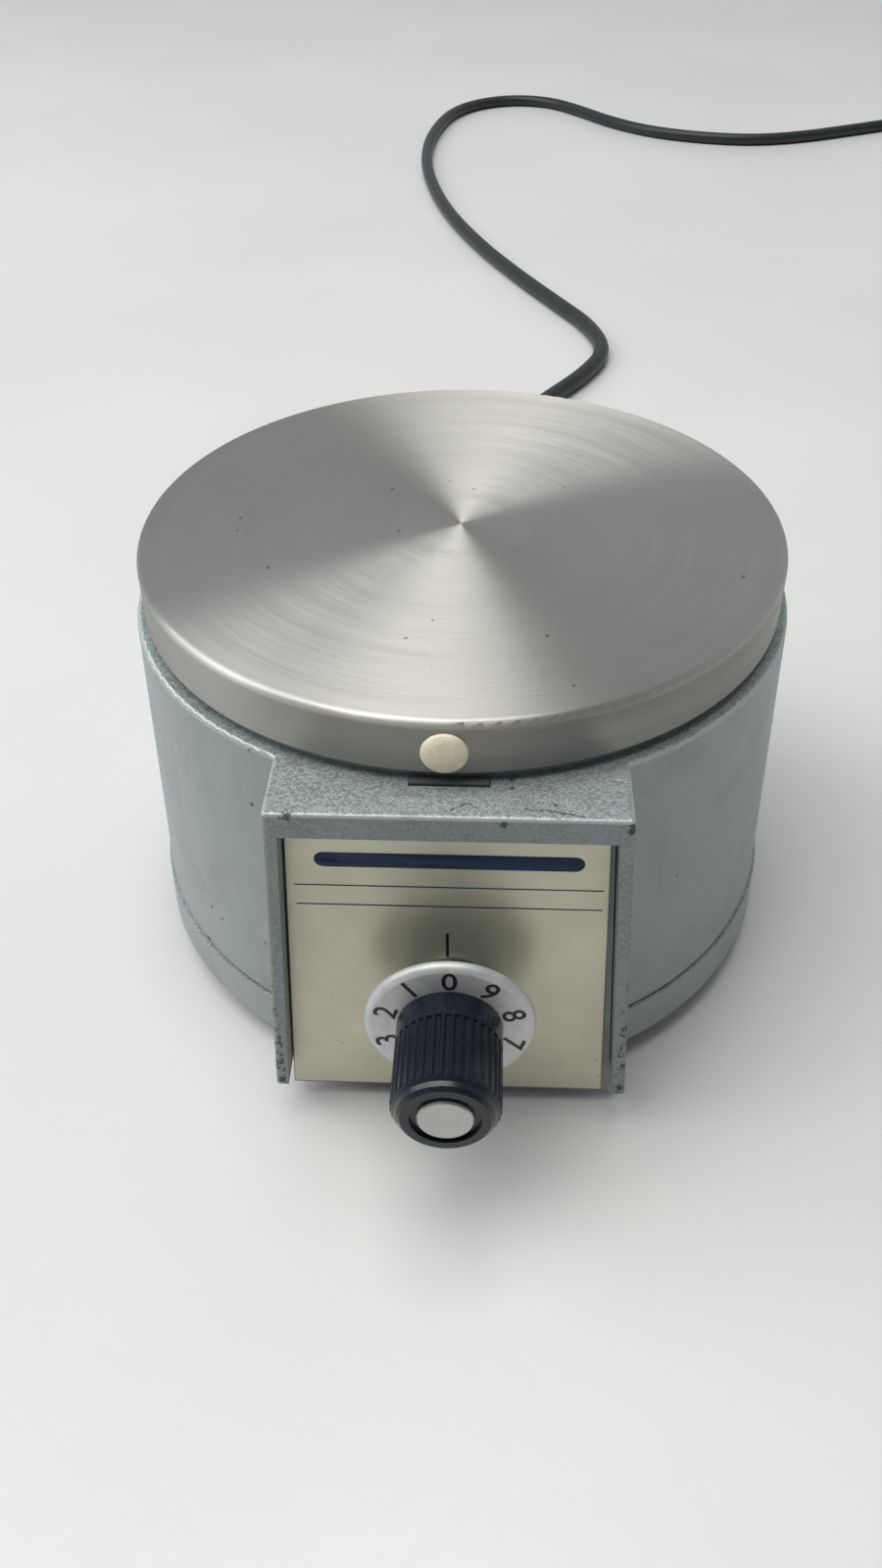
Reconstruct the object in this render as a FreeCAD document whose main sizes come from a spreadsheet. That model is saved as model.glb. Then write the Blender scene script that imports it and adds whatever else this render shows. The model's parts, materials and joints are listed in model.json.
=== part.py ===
"""Magnetic stirrer: a round bench unit with a spun steel top plate over a motor-driven magnet.

Millimetres, +Z up. The origin is where the stirring axis meets the bench, the control panel
faces -Y and +X is to the right of somebody who faces the panel.
"""

import FreeCAD
import Part
import math
import os
import types

import Sketcher

Vector = FreeCAD.Vector
X_AXIS = Vector(1, 0, 0)
Z_AXIS = Vector(0, 0, 1)

doc = FreeCAD.newDocument("magnetic_stirrer")
sheet = doc.addObject("Spreadsheet::Sheet", "Sizes")

# ---------------------------------------------------------------- driving sizes

DRIVING = {
    # the whole unit
    "total_height": 111.0,
    "foot_height": 7.5,
    "fit_gap": 0.3,
    "running_gap": 0.05,
    # spun top plate and the button that keeps it on
    "plate_radius": 76.2,
    "plate_wall": 1.2,
    "plate_skirt": 12.6,
    "plate_edge": 1.5,
    "plate_to_neck": 0.6,
    "button_radius": 4.8,
    "button_dome": 1.8,
    "button_rim": 0.4,
    "button_shank": 2.4,
    "button_drop": 7.4,
    "button_offset": 0.9,
    # cast housing
    "shoulder_drop": 15.3,
    "shoulder_ledge": 2.2,
    "casting_ledge": 5.4,
    "casting_wall": 3.5,
    "casting_edge": 1.0,
    "deck_wall": 4.0,
    "neck_wall": 3.5,
    "neck_lip": 16.4,
    "boss_inset": 9.1,
    "boss_radius": 4.5,
    "boss_angle": 20.0,
    "screw_radius": 1.6,
    "screw_length": 12.0,
    "screw_head_radius": 3.4,
    "screw_head": 2.2,
    # front block of the housing
    "block_half_width": 36.55,
    "block_projection": 10.4,
    "block_overlap": 25.0,
    "block_bottom": 12.0,
    "block_flare": 3.08,
    "front_tilt": 2.2,
    "post_wall": 3.0,
    "bar_height": 6.1,
    "panel_recess": 6.5,
    # edge pad in the shoulder under the plate's front
    "pad_half_width": 8.1,
    "pad_projection": 0.8,
    "pad_depth": 1.5,
    "pad_height": 2.3,
    # base
    "base_rim": 11.1,
    "base_wall": 3.0,
    "base_floor": 2.0,
    "base_bottom_lip": 1.2,
    "base_top_lip": 0.7,
    "seam": 0.8,
    "foot_radius": 8.0,
    "foot_inset": 19.6,
    # panel and nameplate
    "panel_wall": 1.6,
    "panel_flange": 22.0,
    "panel_bottom": 4.6,
    "label_wall": 0.5,
    "label_bottom": 5.6,
    "label_strip_top": 1.0,
    "label_strip_bottom": 2.0,
    # speed control
    "knob_offset": 0.5,
    "knob_height": 42.5,
    "rheostat_radius": 16.0,
    "rheostat_depth": 19.0,
    "rheostat_wall": 1.6,
    "bushing_radius": 4.7,
    "bushing_length": 6.5,
    "spindle_radius": 3.175,
    "spindle_reach": 30.0,
    "nut_radius": 7.3,
    "nut_height": 2.4,
    "washer_height": 0.7,
    # knob
    "skirt_radius": 18.7,
    "skirt_back": 12.0,
    "skirt_front": 14.0,
    "skirt_wall": 1.2,
    "skirt_edge": 1.8,
    "knob_radius": 11.5,
    "knob_back": 5.2,
    "knob_front": 38.0,
    "collar_length": 6.0,
    "nose_radius": 10.1,
    "nose_length": 2.8,
    "flute_radius": 0.75,
    "flutes": 36,
    "cap_radius": 5.9,
    "cap_height": 1.2,
    "cap_ring": 7.4,
    # motor
    "shaft_radius": 3.0,
    "hub_clearance": 5.0,
    "bolt_end": 5.0,
    "stator_height": 20.0,
    "stator_half_width": 30.0,
    "stator_front": 22.0,
    "stator_back": 42.0,
    "rotor_radius": 12.9,
    "air_gap": 0.4,
    "window_half_width": 18.0,
    "window_front": 18.0,
    "window_back": 30.0,
    "coil_build": 6.0,
    "bobbin_wall": 0.8,
    "bracket_wall": 3.0,
    "bracket_half_width": 8.0,
    "bracket_offset": 5.0,
    "bolt_offset": 24.0,
    "bolt_radius": 2.0,
    "bearing_radius": 6.0,
    "bearing_length": 8.0,
    # magnet
    "magnet_gap": 2.5,
    "magnet_height": 10.8,
    "magnet_length": 20.0,
    "magnet_half_width": 8.0,
    "magnet_reach": 44.0,
    "carrier_wall": 2.5,
    "hub_radius": 8.0,
    "hub_height": 12.0,
    # mains lead
    "cord_radius": 3.9,
    "gland_height": 32.0,
    "gland_radius": 8.0,
    "gland_flange": 10.0,
    "gland_flange_wall": 3.0,
    "gland_tail": 26.0,
    "gland_tip": 5.4,
    "coil_radius": 39.0,
    "coil_x": 364.0,
    "coil_y": 776.0,
    "tie_wall": 0.8,
    "terminal_height": 11.0,
    "terminal_half_width": 16.0,
    "terminal_half_depth": 6.0,
    "terminal_inset": 21.6,
    "earth_offset": 26.0,
    "wire_radius": 1.1,
    "plug_half_width": 12.5,
    "plug_length": 34.0,
    "plug_height": 21.0,
    "plug_grip": 9.0,
    "plug_waist": 16.0,
    "plug_shoulder": 22.0,
    "plug_round": 2.5,
    "blade_offset": 6.35,
    "blade_half_wall": 0.75,
    "blade_bottom": 5.0,
    "blade_width": 6.4,
    "blade_length": 16.0,
    "earth_pin_radius": 2.4,
    "earth_pin_length": 19.0,
    "earth_pin_height": 15.8,
}

for row, (alias, number) in enumerate(DRIVING.items(), start=1):
    sheet.set("A%d" % row, alias)
    sheet.set("B%d" % row, str(number))
    sheet.setAlias("B%d" % row, alias)
doc.recompute()


class Size:
    """A number together with the sheet formula that it comes from."""

    def __init__(self, number, text):
        self.number = float(number)
        self.text = text

    def __add__(self, other):
        other = as_size(other)
        return Size(self.number + other.number, "(%s + %s)" % (self.text, other.text))

    def __radd__(self, other):
        return as_size(other) + self

    def __sub__(self, other):
        other = as_size(other)
        return Size(self.number - other.number, "(%s - %s)" % (self.text, other.text))

    def __rsub__(self, other):
        return as_size(other) - self

    def __mul__(self, other):
        other = as_size(other)
        return Size(self.number * other.number, "(%s * %s)" % (self.text, other.text))

    def __rmul__(self, other):
        return as_size(other) * self

    def __truediv__(self, other):
        other = as_size(other)
        return Size(self.number / other.number, "(%s / %s)" % (self.text, other.text))

    def __neg__(self):
        return Size(-self.number, "(-1 * %s)" % self.text)


def as_size(value):
    """Wrap a plain number, so that it can stand in a formula."""
    return value if isinstance(value, Size) else Size(value, repr(float(value)))


def turned(function, angle):
    """Sine, cosine or tangent of an angle in degrees."""
    angle = as_size(angle)
    number = getattr(math, function)(math.radians(angle.number))
    return Size(number, "%s(%s * 1 deg)" % (function, angle.text))


d = types.SimpleNamespace(**{alias: Size(number, "Sizes." + alias) for alias, number in DRIVING.items()})

# ---------------------------------------------------------------- levels and places worked out from them

plate_bottom = d.total_height - d.plate_skirt
neck_top = d.total_height - d.plate_wall
neck_radius = d.plate_radius - d.plate_wall - d.plate_to_neck
shoulder_radius = d.plate_radius + d.shoulder_ledge
casting_radius = d.plate_radius + d.casting_ledge
opening_radius = neck_radius - d.neck_lip
boss_circle = casting_radius - d.boss_inset
foot_circle = casting_radius - d.foot_inset
base_bottom_radius = casting_radius + d.base_bottom_lip
base_top_radius = casting_radius + d.base_top_lip
block_front = d.plate_radius + d.block_projection
pad_front = d.plate_radius + d.pad_projection
shoulder = d.total_height - d.shoulder_drop
seam_bottom = d.foot_height + d.base_rim
casting_bottom = seam_bottom + d.seam
base_floor_top = d.foot_height + d.base_floor
button_z = d.total_height - d.button_drop

LEAN = turned("tan", d.front_tilt)
FLARE = turned("tan", d.block_flare)

magnet_bottom = neck_top - d.magnet_gap - d.magnet_height
carrier_bottom = magnet_bottom - d.carrier_wall
hub_bottom = carrier_bottom - d.hub_height
upper_bracket_z = hub_bottom - d.hub_clearance - d.bolt_end - d.bracket_wall
stator_top = upper_bracket_z - d.bracket_offset
stator_bottom = stator_top - d.stator_height
lower_bracket_z = stator_bottom - d.bracket_offset - d.bracket_wall
gland_y = casting_radius
terminal_y = casting_radius - d.terminal_inset
terminal_top = base_floor_top + d.terminal_height


def half_width(z):
    """Half the width of the front block's outside at height z."""
    return d.block_half_width + (shoulder - z) * FLARE


def front_y(z):
    """The front block's front face at height z."""
    return -(block_front + (shoulder - z) * LEAN)


def panel_y(z):
    """The panel's front face at height z."""
    return -(block_front - d.panel_recess + (shoulder - z) * LEAN)


panel_face_y = panel_y(d.knob_height)
panel_screw_y = -(block_front - d.panel_recess - d.panel_flange / 2)

# ---------------------------------------------------------------- helpers


def place(item, x=0, y=0, z=0, axis=None, angle=0):
    """Put a piece somewhere, every coordinate bound to the sheet."""
    if axis is not None:
        item.Placement = FreeCAD.Placement(Vector(), FreeCAD.Rotation(axis, as_size(angle).number))
        if isinstance(angle, Size):
            item.setExpression("Placement.Rotation.Angle", "%s * 1 deg" % angle.text)
    for letter, value in (("x", x), ("y", y), ("z", z)):
        item.setExpression("Placement.Base." + letter, as_size(value).text)
    return item


def on_panel(item):
    """Move a piece drawn round local +Z to the speed control's axis, pointing out of the panel."""
    return place(item, d.knob_offset, panel_face_y, d.knob_height, X_AXIS, 90 - d.front_tilt)


def cylinder(label, radius, height, x=0, y=0, z=0, axis=None, angle=0):
    """A Part cylinder that starts at x, y, z and runs along +Z before any turn."""
    item = doc.addObject("Part::Cylinder", label)
    item.Label = label
    item.setExpression("Radius", as_size(radius).text)
    item.setExpression("Height", as_size(height).text)
    return place(item, x, y, z, axis, angle)


def cone(label, radius_1, radius_2, height, x=0, y=0, z=0, axis=None, angle=0):
    """A Part cone frustum, from radius_1 at its start to radius_2."""
    item = doc.addObject("Part::Cone", label)
    item.Label = label
    item.setExpression("Radius1", as_size(radius_1).text)
    item.setExpression("Radius2", as_size(radius_2).text)
    item.setExpression("Height", as_size(height).text)
    return place(item, x, y, z, axis, angle)


def box(label, x_range, y_range, z_range):
    """A Part box between two values on each axis."""
    item = doc.addObject("Part::Box", label)
    item.Label = label
    for name, (low, high) in (("Length", x_range), ("Width", y_range), ("Height", z_range)):
        item.setExpression(name, (as_size(high) - low).text)
    return place(item, x_range[0], y_range[0], z_range[0])


def fuse(label, pieces):
    """Join pieces into one node; pieces that stay apart stay separate solids of it."""
    item = doc.addObject("Part::MultiFuse", label)
    item.Label = label
    item.Shapes = pieces
    return item


def cut(label, base, tool):
    """Take the tool away from the base."""
    item = doc.addObject("Part::Cut", label)
    item.Label = label
    item.Base = base
    item.Tool = tool
    return item


def tube(label, radius, bore, height, x=0, y=0, z=0, axis=None, angle=0):
    """A plain bush: a cylinder with a bore right through."""
    outside = cylinder(label + "_outside", radius, height, x, y, z, axis, angle)
    inside = cylinder(label + "_bore", bore, height, x, y, z, axis, angle)
    return cut(label, outside, inside)


def new_body(label):
    """An empty PartDesign body for one node."""
    body = doc.addObject("PartDesign::Body", label)
    body.Label = label
    return body


def new_sketch(body, role="XY_Plane", lift=0):
    """A sketch on one of the body's own planes, lifted along that plane's normal."""
    plane = [item for item in body.Origin.OriginFeatures if item.Role == role][0]
    sketch = body.newObject("Sketcher::SketchObject", body.Name + "_sketch")
    sketch.AttachmentSupport = (plane, [""])
    sketch.MapMode = "FlatFace"
    sketch.setExpression("AttachmentOffset.Base.z", as_size(lift).text)
    return sketch


def hold(sketch, kind, first, first_end, second, second_end, value):
    """Add a distance constraint and bind it to the sheet."""
    size = as_size(value)
    rule = Sketcher.Constraint(kind, first, first_end, second, second_end, size.number)
    number = sketch.addConstraint(rule)
    sketch.setExpression("Constraints[%d]" % number, size.text)


def outline(sketch, corners):
    """A closed outline of straight lines, each corner held by its two distances from the origin."""
    first = sketch.GeometryCount
    points = [Vector(as_size(x).number, as_size(y).number, 0) for x, y in corners]
    count = len(points)
    for index in range(count):
        sketch.addGeometry(Part.LineSegment(points[index], points[(index + 1) % count]), False)
    for index, (x, y) in enumerate(corners):
        following = first + (index + 1) % count
        sketch.addConstraint(Sketcher.Constraint("Coincident", first + index, 2, following, 1))
        hold(sketch, "DistanceX", -1, 1, first + index, 1, x)
        hold(sketch, "DistanceY", -1, 1, first + index, 1, y)


def rectangle(sketch, low_x, high_x, low_y, high_y):
    """An outline with square corners."""
    outline(sketch, [(low_x, low_y), (high_x, low_y), (high_x, high_y), (low_x, high_y)])


def circle(sketch, x, y, radius):
    """A circle held by its centre and its radius."""
    centre = Vector(as_size(x).number, as_size(y).number, 0)
    size = as_size(radius)
    index = sketch.addGeometry(Part.Circle(centre, Z_AXIS, size.number), False)
    hold(sketch, "DistanceX", -1, 1, index, 3, x)
    hold(sketch, "DistanceY", -1, 1, index, 3, y)
    number = sketch.addConstraint(Sketcher.Constraint("Radius", index, size.number))
    sketch.setExpression("Constraints[%d]" % number, size.text)


def feature(body, kind, sketch, **values):
    """Add a PartDesign feature made from a sketch, its sizes bound to the sheet."""
    item = body.newObject("PartDesign::" + kind, body.Name + "_" + kind.lower())
    item.Profile = sketch
    for name, value in values.items():
        if isinstance(value, Size):
            item.setExpression(name, value.text)
        else:
            setattr(item, name, value)
    sketch.Visibility = False
    return item


def pad(body, sketch, length, reverse=False):
    """Grow a sketch into a solid along its normal."""
    return feature(body, "Pad", sketch, Length=as_size(length), Reversed=reverse)


def pocket(body, sketch, length, reverse=False):
    """Cut a sketch out against its normal, or along it when reversed."""
    return feature(body, "Pocket", sketch, Length=as_size(length), Reversed=reverse)


def spin(body, kind, corners):
    """Turn an outline of (radius, height) corners right round Z, as a Revolution or a Groove."""
    sketch = new_sketch(body, "XZ_Plane")
    outline(sketch, corners)
    return feature(body, kind, sketch, ReferenceAxis=(sketch, ["V_Axis"]), Angle=360.0)


def loft(body, kind, lower, upper):
    """Join two rectangles at two heights, as an AdditiveLoft or a SubtractiveLoft."""
    sketches = []
    for height, sides in (lower, upper):
        sketch = new_sketch(body, "XY_Plane", height)
        rectangle(sketch, *sides)
        sketch.Visibility = False
        sketches.append(sketch)
    item = body.newObject("PartDesign::" + kind, body.Name + "_loft")
    item.Profile = sketches[0]
    item.Sections = [sketches[1]]
    item.Ruled = True
    return item


def repeat(body, item, count):
    """Repeat a feature evenly round Z."""
    pattern = body.newObject("PartDesign::PolarPattern", body.Name + "_pattern")
    pattern.Originals = [item]
    axis = [part for part in body.Origin.OriginFeatures if part.Role == "Z_Axis"][0]
    pattern.Axis = (axis, [""])
    pattern.Angle = 360.0
    pattern.setExpression("Occurrences", as_size(count).text)
    body.Tip = pattern
    return pattern


def soften(body, item, radius, chosen, kind="Fillet"):
    """Round or bevel the edges of a feature that the test chooses."""
    doc.recompute()
    names = ["Edge%d" % (number + 1) for number, edge in enumerate(item.Shape.Edges) if chosen(edge)]
    size_name = "Radius" if kind == "Fillet" else "Size"
    softened = body.newObject("PartDesign::" + kind, body.Name + "_" + kind.lower())
    softened.Base = (item, names)
    softened.setExpression(size_name, as_size(radius).text)
    return softened


def ring_edge(radius, height):
    """A test for a full circle about Z of this radius at this height."""

    def chosen(edge):
        curve = edge.Curve
        if not isinstance(curve, Part.Circle):
            return False
        same_radius = abs(curve.Radius - as_size(radius).number) < 0.01
        return same_radius and abs(curve.Center.z - as_size(height).number) < 0.01

    return chosen


def boss_places():
    """The four housing screws, mirrored about both axes."""
    for angle in (d.boss_angle, 180 - d.boss_angle, 180 + d.boss_angle, 360 - d.boss_angle):
        yield boss_circle * turned("cos", angle), boss_circle * turned("sin", angle)


def foot_places():
    """The four feet, on the diagonals."""
    for angle in (45, 135, 225, 315):
        yield foot_circle * turned("cos", angle), foot_circle * turned("sin", angle)


# ---------------------------------------------------------------- housing


def make_housing():
    """Cast shell: a drafted drum with a neck for the plate and a block for the control panel."""
    body = new_body("housing")
    spin(body, "Revolution", [
        (0, casting_bottom), (casting_radius, casting_bottom), (shoulder_radius, shoulder),
        (neck_radius, shoulder), (neck_radius, neck_top), (0, neck_top),
    ])
    block_back = -(neck_radius - d.block_overlap)
    block = loft(body, "AdditiveLoft",
                 (d.block_bottom, (-half_width(d.block_bottom), half_width(d.block_bottom),
                                   front_y(d.block_bottom), block_back)),
                 (shoulder, (-half_width(shoulder), half_width(shoulder), front_y(shoulder), block_back)))

    def outer_rim(edge):
        """The shoulder's outside edge, the block's top edges and its two front corners."""
        middle = edge.valueAt((edge.FirstParameter + edge.LastParameter) / 2)
        radius = math.hypot(middle.x, middle.y)
        at_top = abs(middle.z - shoulder.number) < 0.01 and radius > neck_radius.number + 1
        ends = [vertex.Point for vertex in edge.Vertexes]
        upright = len(ends) == 2 and abs(ends[0].z - ends[1].z) > 50
        return at_top or (upright and middle.y < -d.plate_radius.number)

    soften(body, block, d.casting_edge, outer_rim)
    inner_bottom = casting_radius - d.casting_wall
    inner_top = shoulder_radius - d.casting_wall
    deck_under = shoulder - d.deck_wall
    neck_inner = neck_radius - d.neck_wall
    lip_under = neck_top - d.neck_wall
    below = d.block_bottom - 10
    spin(body, "Groove", [
        (0, below), (inner_bottom, below), (inner_bottom, casting_bottom), (inner_top, deck_under),
        (neck_inner, deck_under), (neck_inner, lip_under), (opening_radius, lip_under),
        (opening_radius, neck_top + 5), (0, neck_top + 5),
    ])
    bar_under = shoulder - d.bar_height
    clear_front = front_y(d.block_bottom) - 20
    loft(body, "SubtractiveLoft",
         (below, (-(half_width(below) - d.post_wall), half_width(below) - d.post_wall,
                  clear_front, block_back + 2)),
         (bar_under, (-(half_width(bar_under) - d.post_wall), half_width(bar_under) - d.post_wall,
                      clear_front, block_back + 2)))
    bosses = new_sketch(body, "XY_Plane", base_floor_top)
    for x, y in boss_places():
        circle(bosses, x, y, d.boss_radius)
    pad(body, bosses, deck_under + 1 - base_floor_top)
    holes = new_sketch(body, "XY_Plane", base_floor_top)
    for x, y in boss_places():
        circle(holes, x, y, d.screw_radius + d.running_gap)
    pocket(body, holes, d.screw_length, True)
    cord_hole = new_sketch(body, "XZ_Plane")
    circle(cord_hole, 0, d.gland_height, d.gland_radius + d.fit_gap / 3)
    pocket(body, cord_hole, casting_radius + 10)
    button_hole = new_sketch(body, "XZ_Plane")
    circle(button_hole, -d.button_offset, button_z, d.button_shank + d.fit_gap / 3)
    pocket(body, button_hole, d.plate_radius + 5, True)
    notch = new_sketch(body, "XY_Plane", shoulder - d.pad_depth)
    pad_side = d.pad_half_width + d.fit_gap / 2
    rectangle(notch, -pad_side, pad_side, -(pad_front + d.fit_gap), -(neck_radius + d.fit_gap / 2))
    return pocket(body, notch, d.pad_depth + 1, True)


# ---------------------------------------------------------------- top plate


def make_top():
    """Spun steel plate, its nylon button and the pad under its front edge."""
    body = new_body("top_plate")
    inside = d.plate_radius - d.plate_wall
    shell = spin(body, "Revolution", [
        (0, neck_top), (inside, neck_top), (inside, plate_bottom), (d.plate_radius, plate_bottom),
        (d.plate_radius, d.total_height), (0, d.total_height),
    ])
    rounded = soften(body, shell, d.plate_edge, ring_edge(d.plate_radius, d.total_height))
    body.Tip = rounded
    hole = new_sketch(body, "XZ_Plane")
    circle(hole, -d.button_offset, button_z, d.button_shank + d.fit_gap / 3)
    pocket(body, hole, d.plate_radius + 5, True)

    button = new_body("plate_button")
    head_back = d.plate_radius + 0.02
    rim_front = head_back + d.button_rim
    rise = d.button_dome - d.button_rim
    dome = [
        (d.button_radius * turned("cos", angle), rim_front + rise * turned("sin", angle))
        for angle in range(0, 90, 15)
    ]
    spin(button, "Revolution", [
        (0, head_back - 6), (d.button_shank, head_back - 6), (d.button_shank, head_back),
        (d.button_radius, head_back), *dome, (0, head_back + d.button_dome),
    ])
    place(button, -d.button_offset, 0, button_z, X_AXIS, 90)

    box("plate_pad", (-d.pad_half_width, d.pad_half_width), (-pad_front, -(neck_radius + d.fit_gap)),
        (shoulder - d.pad_depth, shoulder - d.pad_depth + d.pad_height - d.fit_gap))


# ---------------------------------------------------------------- base, feet and screws


def make_base():
    """Shallow pan that closes the housing, flattened at the front where the panel hangs."""
    body = new_body("base_pan")
    spin(body, "Revolution", [
        (0, d.foot_height), (base_bottom_radius, d.foot_height), (base_top_radius, seam_bottom),
        (base_top_radius - d.base_wall, seam_bottom),
        (base_top_radius - d.base_wall, base_floor_top), (0, base_floor_top),
    ])
    flat_y = panel_y(base_floor_top) + d.panel_wall + d.fit_gap
    front = new_sketch(body, "XY_Plane", d.foot_height - 1)
    wide = base_bottom_radius + 5
    rectangle(front, -wide, wide, -wide, flat_y)
    pocket(body, front, d.base_rim + 5, True)
    legs = new_sketch(body, "XY_Plane", base_floor_top)
    reach = half_width(d.block_bottom) + 2 * d.fit_gap
    rectangle(legs, -reach, reach, -wide, -(base_bottom_radius * 0.75))
    pocket(body, legs, d.base_rim + 5, True)
    holes = new_sketch(body, "XY_Plane", base_floor_top)
    for x, y in boss_places():
        circle(holes, x, y, d.screw_radius + d.fit_gap)
    for x, y in foot_places():
        circle(holes, x, y, d.screw_radius + d.fit_gap)
    for side in (-1, 1):
        circle(holes, side * d.bolt_offset, 0, d.bolt_radius + d.fit_gap)
        circle(holes, side * d.bolt_offset, panel_screw_y, d.screw_radius + d.fit_gap)
    pocket(body, holes, d.base_floor + 1)


def make_feet():
    """Four rubber feet and the screws that hold them."""
    feet = []
    screws = []
    for number, (x, y) in enumerate(foot_places(), start=1):
        outside = cone("foot_%d" % number, d.foot_radius - 1, d.foot_radius, d.foot_height, x, y, 0)
        well = cylinder("foot_well_%d" % number, d.screw_head_radius + d.fit_gap, d.foot_height / 2, x, y, 0)
        hole = cylinder("foot_hole_%d" % number, d.screw_radius + d.fit_gap / 3, d.foot_height, x, y, 0)
        feet.append(cut("foot_cut_%d" % number, outside, fuse("foot_tool_%d" % number, [well, hole])))
        head = cylinder("foot_screw_head_%d" % number, d.screw_head_radius, d.screw_head,
                        x, y, d.foot_height / 2 - d.screw_head)
        shank = cylinder("foot_screw_shank_%d" % number, d.screw_radius,
                         d.foot_height / 2 + d.base_floor + 3, x, y, d.foot_height / 2)
        nut = cylinder("foot_screw_nut_%d" % number, d.screw_head_radius, d.screw_head, x, y, base_floor_top)
        screws.append(fuse("foot_screw_%d" % number, [head, shank, nut]))
    fuse("rubber_feet", feet)
    fuse("foot_screws", screws)


def screw_up(label, x, y, head_top, length):
    """A pan-head screw that points up, its head's bearing face at head_top."""
    head = cylinder(label + "_head", d.screw_head_radius, d.screw_head, x, y, head_top - d.screw_head)
    shank = cylinder(label + "_shank", d.screw_radius, length, x, y, head_top)
    return fuse(label, [head, shank])


def make_screws():
    """Screws that hold the base to the housing's bosses and the panel to the base."""
    reach = d.base_floor + d.screw_length - 1
    fuse("housing_screws", [
        screw_up("housing_screw_%d" % number, x, y, d.foot_height, reach)
        for number, (x, y) in enumerate(boss_places(), start=1)
    ])
    under_flange = d.foot_height - d.panel_wall
    length = d.panel_wall + d.base_floor + 3
    parts = []
    for number, side in enumerate((-1, 1), start=1):
        x = side * d.bolt_offset
        screw = screw_up("panel_screw_%d" % number, x, panel_screw_y, under_flange, length)
        nut = cylinder("panel_screw_nut_%d" % number, d.screw_head_radius, d.screw_head,
                       x, panel_screw_y, base_floor_top)
        parts.append(fuse("panel_screw_set_%d" % number, [screw, nut]))
    fuse("panel_screws", parts)


# ---------------------------------------------------------------- control panel

# Local axes on the panel: x to the right, y up the panel, z out of it, from the knob's axis.
COS = turned("cos", d.front_tilt)


def up_panel(z):
    """Distance up the panel's face from the knob's axis to height z."""
    return (as_size(z) - d.knob_height) / COS


def panel_half(z):
    """Half the width of the panel at height z."""
    return half_width(as_size(z)) - d.post_wall - d.fit_gap


def make_panel():
    """Bent steel panel with a flange under the base, and the metal nameplate on its face."""
    top = shoulder - d.bar_height - 0.5
    low = d.panel_bottom
    body = new_body("front_panel")
    face = new_sketch(body, "XY_Plane")
    outline(face, [
        (-panel_half(low) - d.knob_offset, up_panel(low)), (panel_half(low) - d.knob_offset, up_panel(low)),
        (panel_half(top) - d.knob_offset, up_panel(top)), (-panel_half(top) - d.knob_offset, up_panel(top)),
    ])
    circle(face, 0, 0, d.bushing_radius + d.fit_gap / 2)
    pad(body, face, d.panel_wall, True)
    on_panel(body)
    flange = box("panel_flange_bar", (-(d.bolt_offset + 6), d.bolt_offset + 6),
                 (panel_y(d.foot_height) + d.panel_wall / 2, panel_screw_y + d.panel_flange / 2),
                 (d.foot_height - d.panel_wall, d.foot_height))
    holes = fuse("panel_flange_holes", [
        cylinder("panel_flange_hole_%d" % number, d.screw_radius + d.fit_gap / 2, d.foot_height,
                 side * d.bolt_offset, panel_screw_y, 0)
        for number, side in enumerate((-1, 1), start=1)
    ])
    body.Label = "panel_face"
    joined = fuse("front_panel", [body, cut("panel_flange", flange, holes)])
    joined.Label = "front_panel"

    label = new_body("nameplate")
    face = new_sketch(label, "XY_Plane")
    low = d.label_bottom
    edge = d.fit_gap
    outline(face, [
        (-panel_half(low) - d.knob_offset + edge, up_panel(low)),
        (panel_half(low) - d.knob_offset - d.label_strip_bottom, up_panel(low)),
        (panel_half(top) - d.knob_offset - d.label_strip_top, up_panel(top)),
        (-panel_half(top) - d.knob_offset + edge, up_panel(top)),
    ])
    circle(face, 0, 0, d.bushing_radius + d.fit_gap / 2)
    pad(label, face, d.label_wall)
    on_panel(label)


# ---------------------------------------------------------------- speed control


def hexagon(radius):
    """Corners of a hexagon, point up, inside a circle."""
    return [
        (radius * turned("sin", 60 * step), radius * turned("cos", 60 * step)) for step in range(6)
    ]


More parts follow.
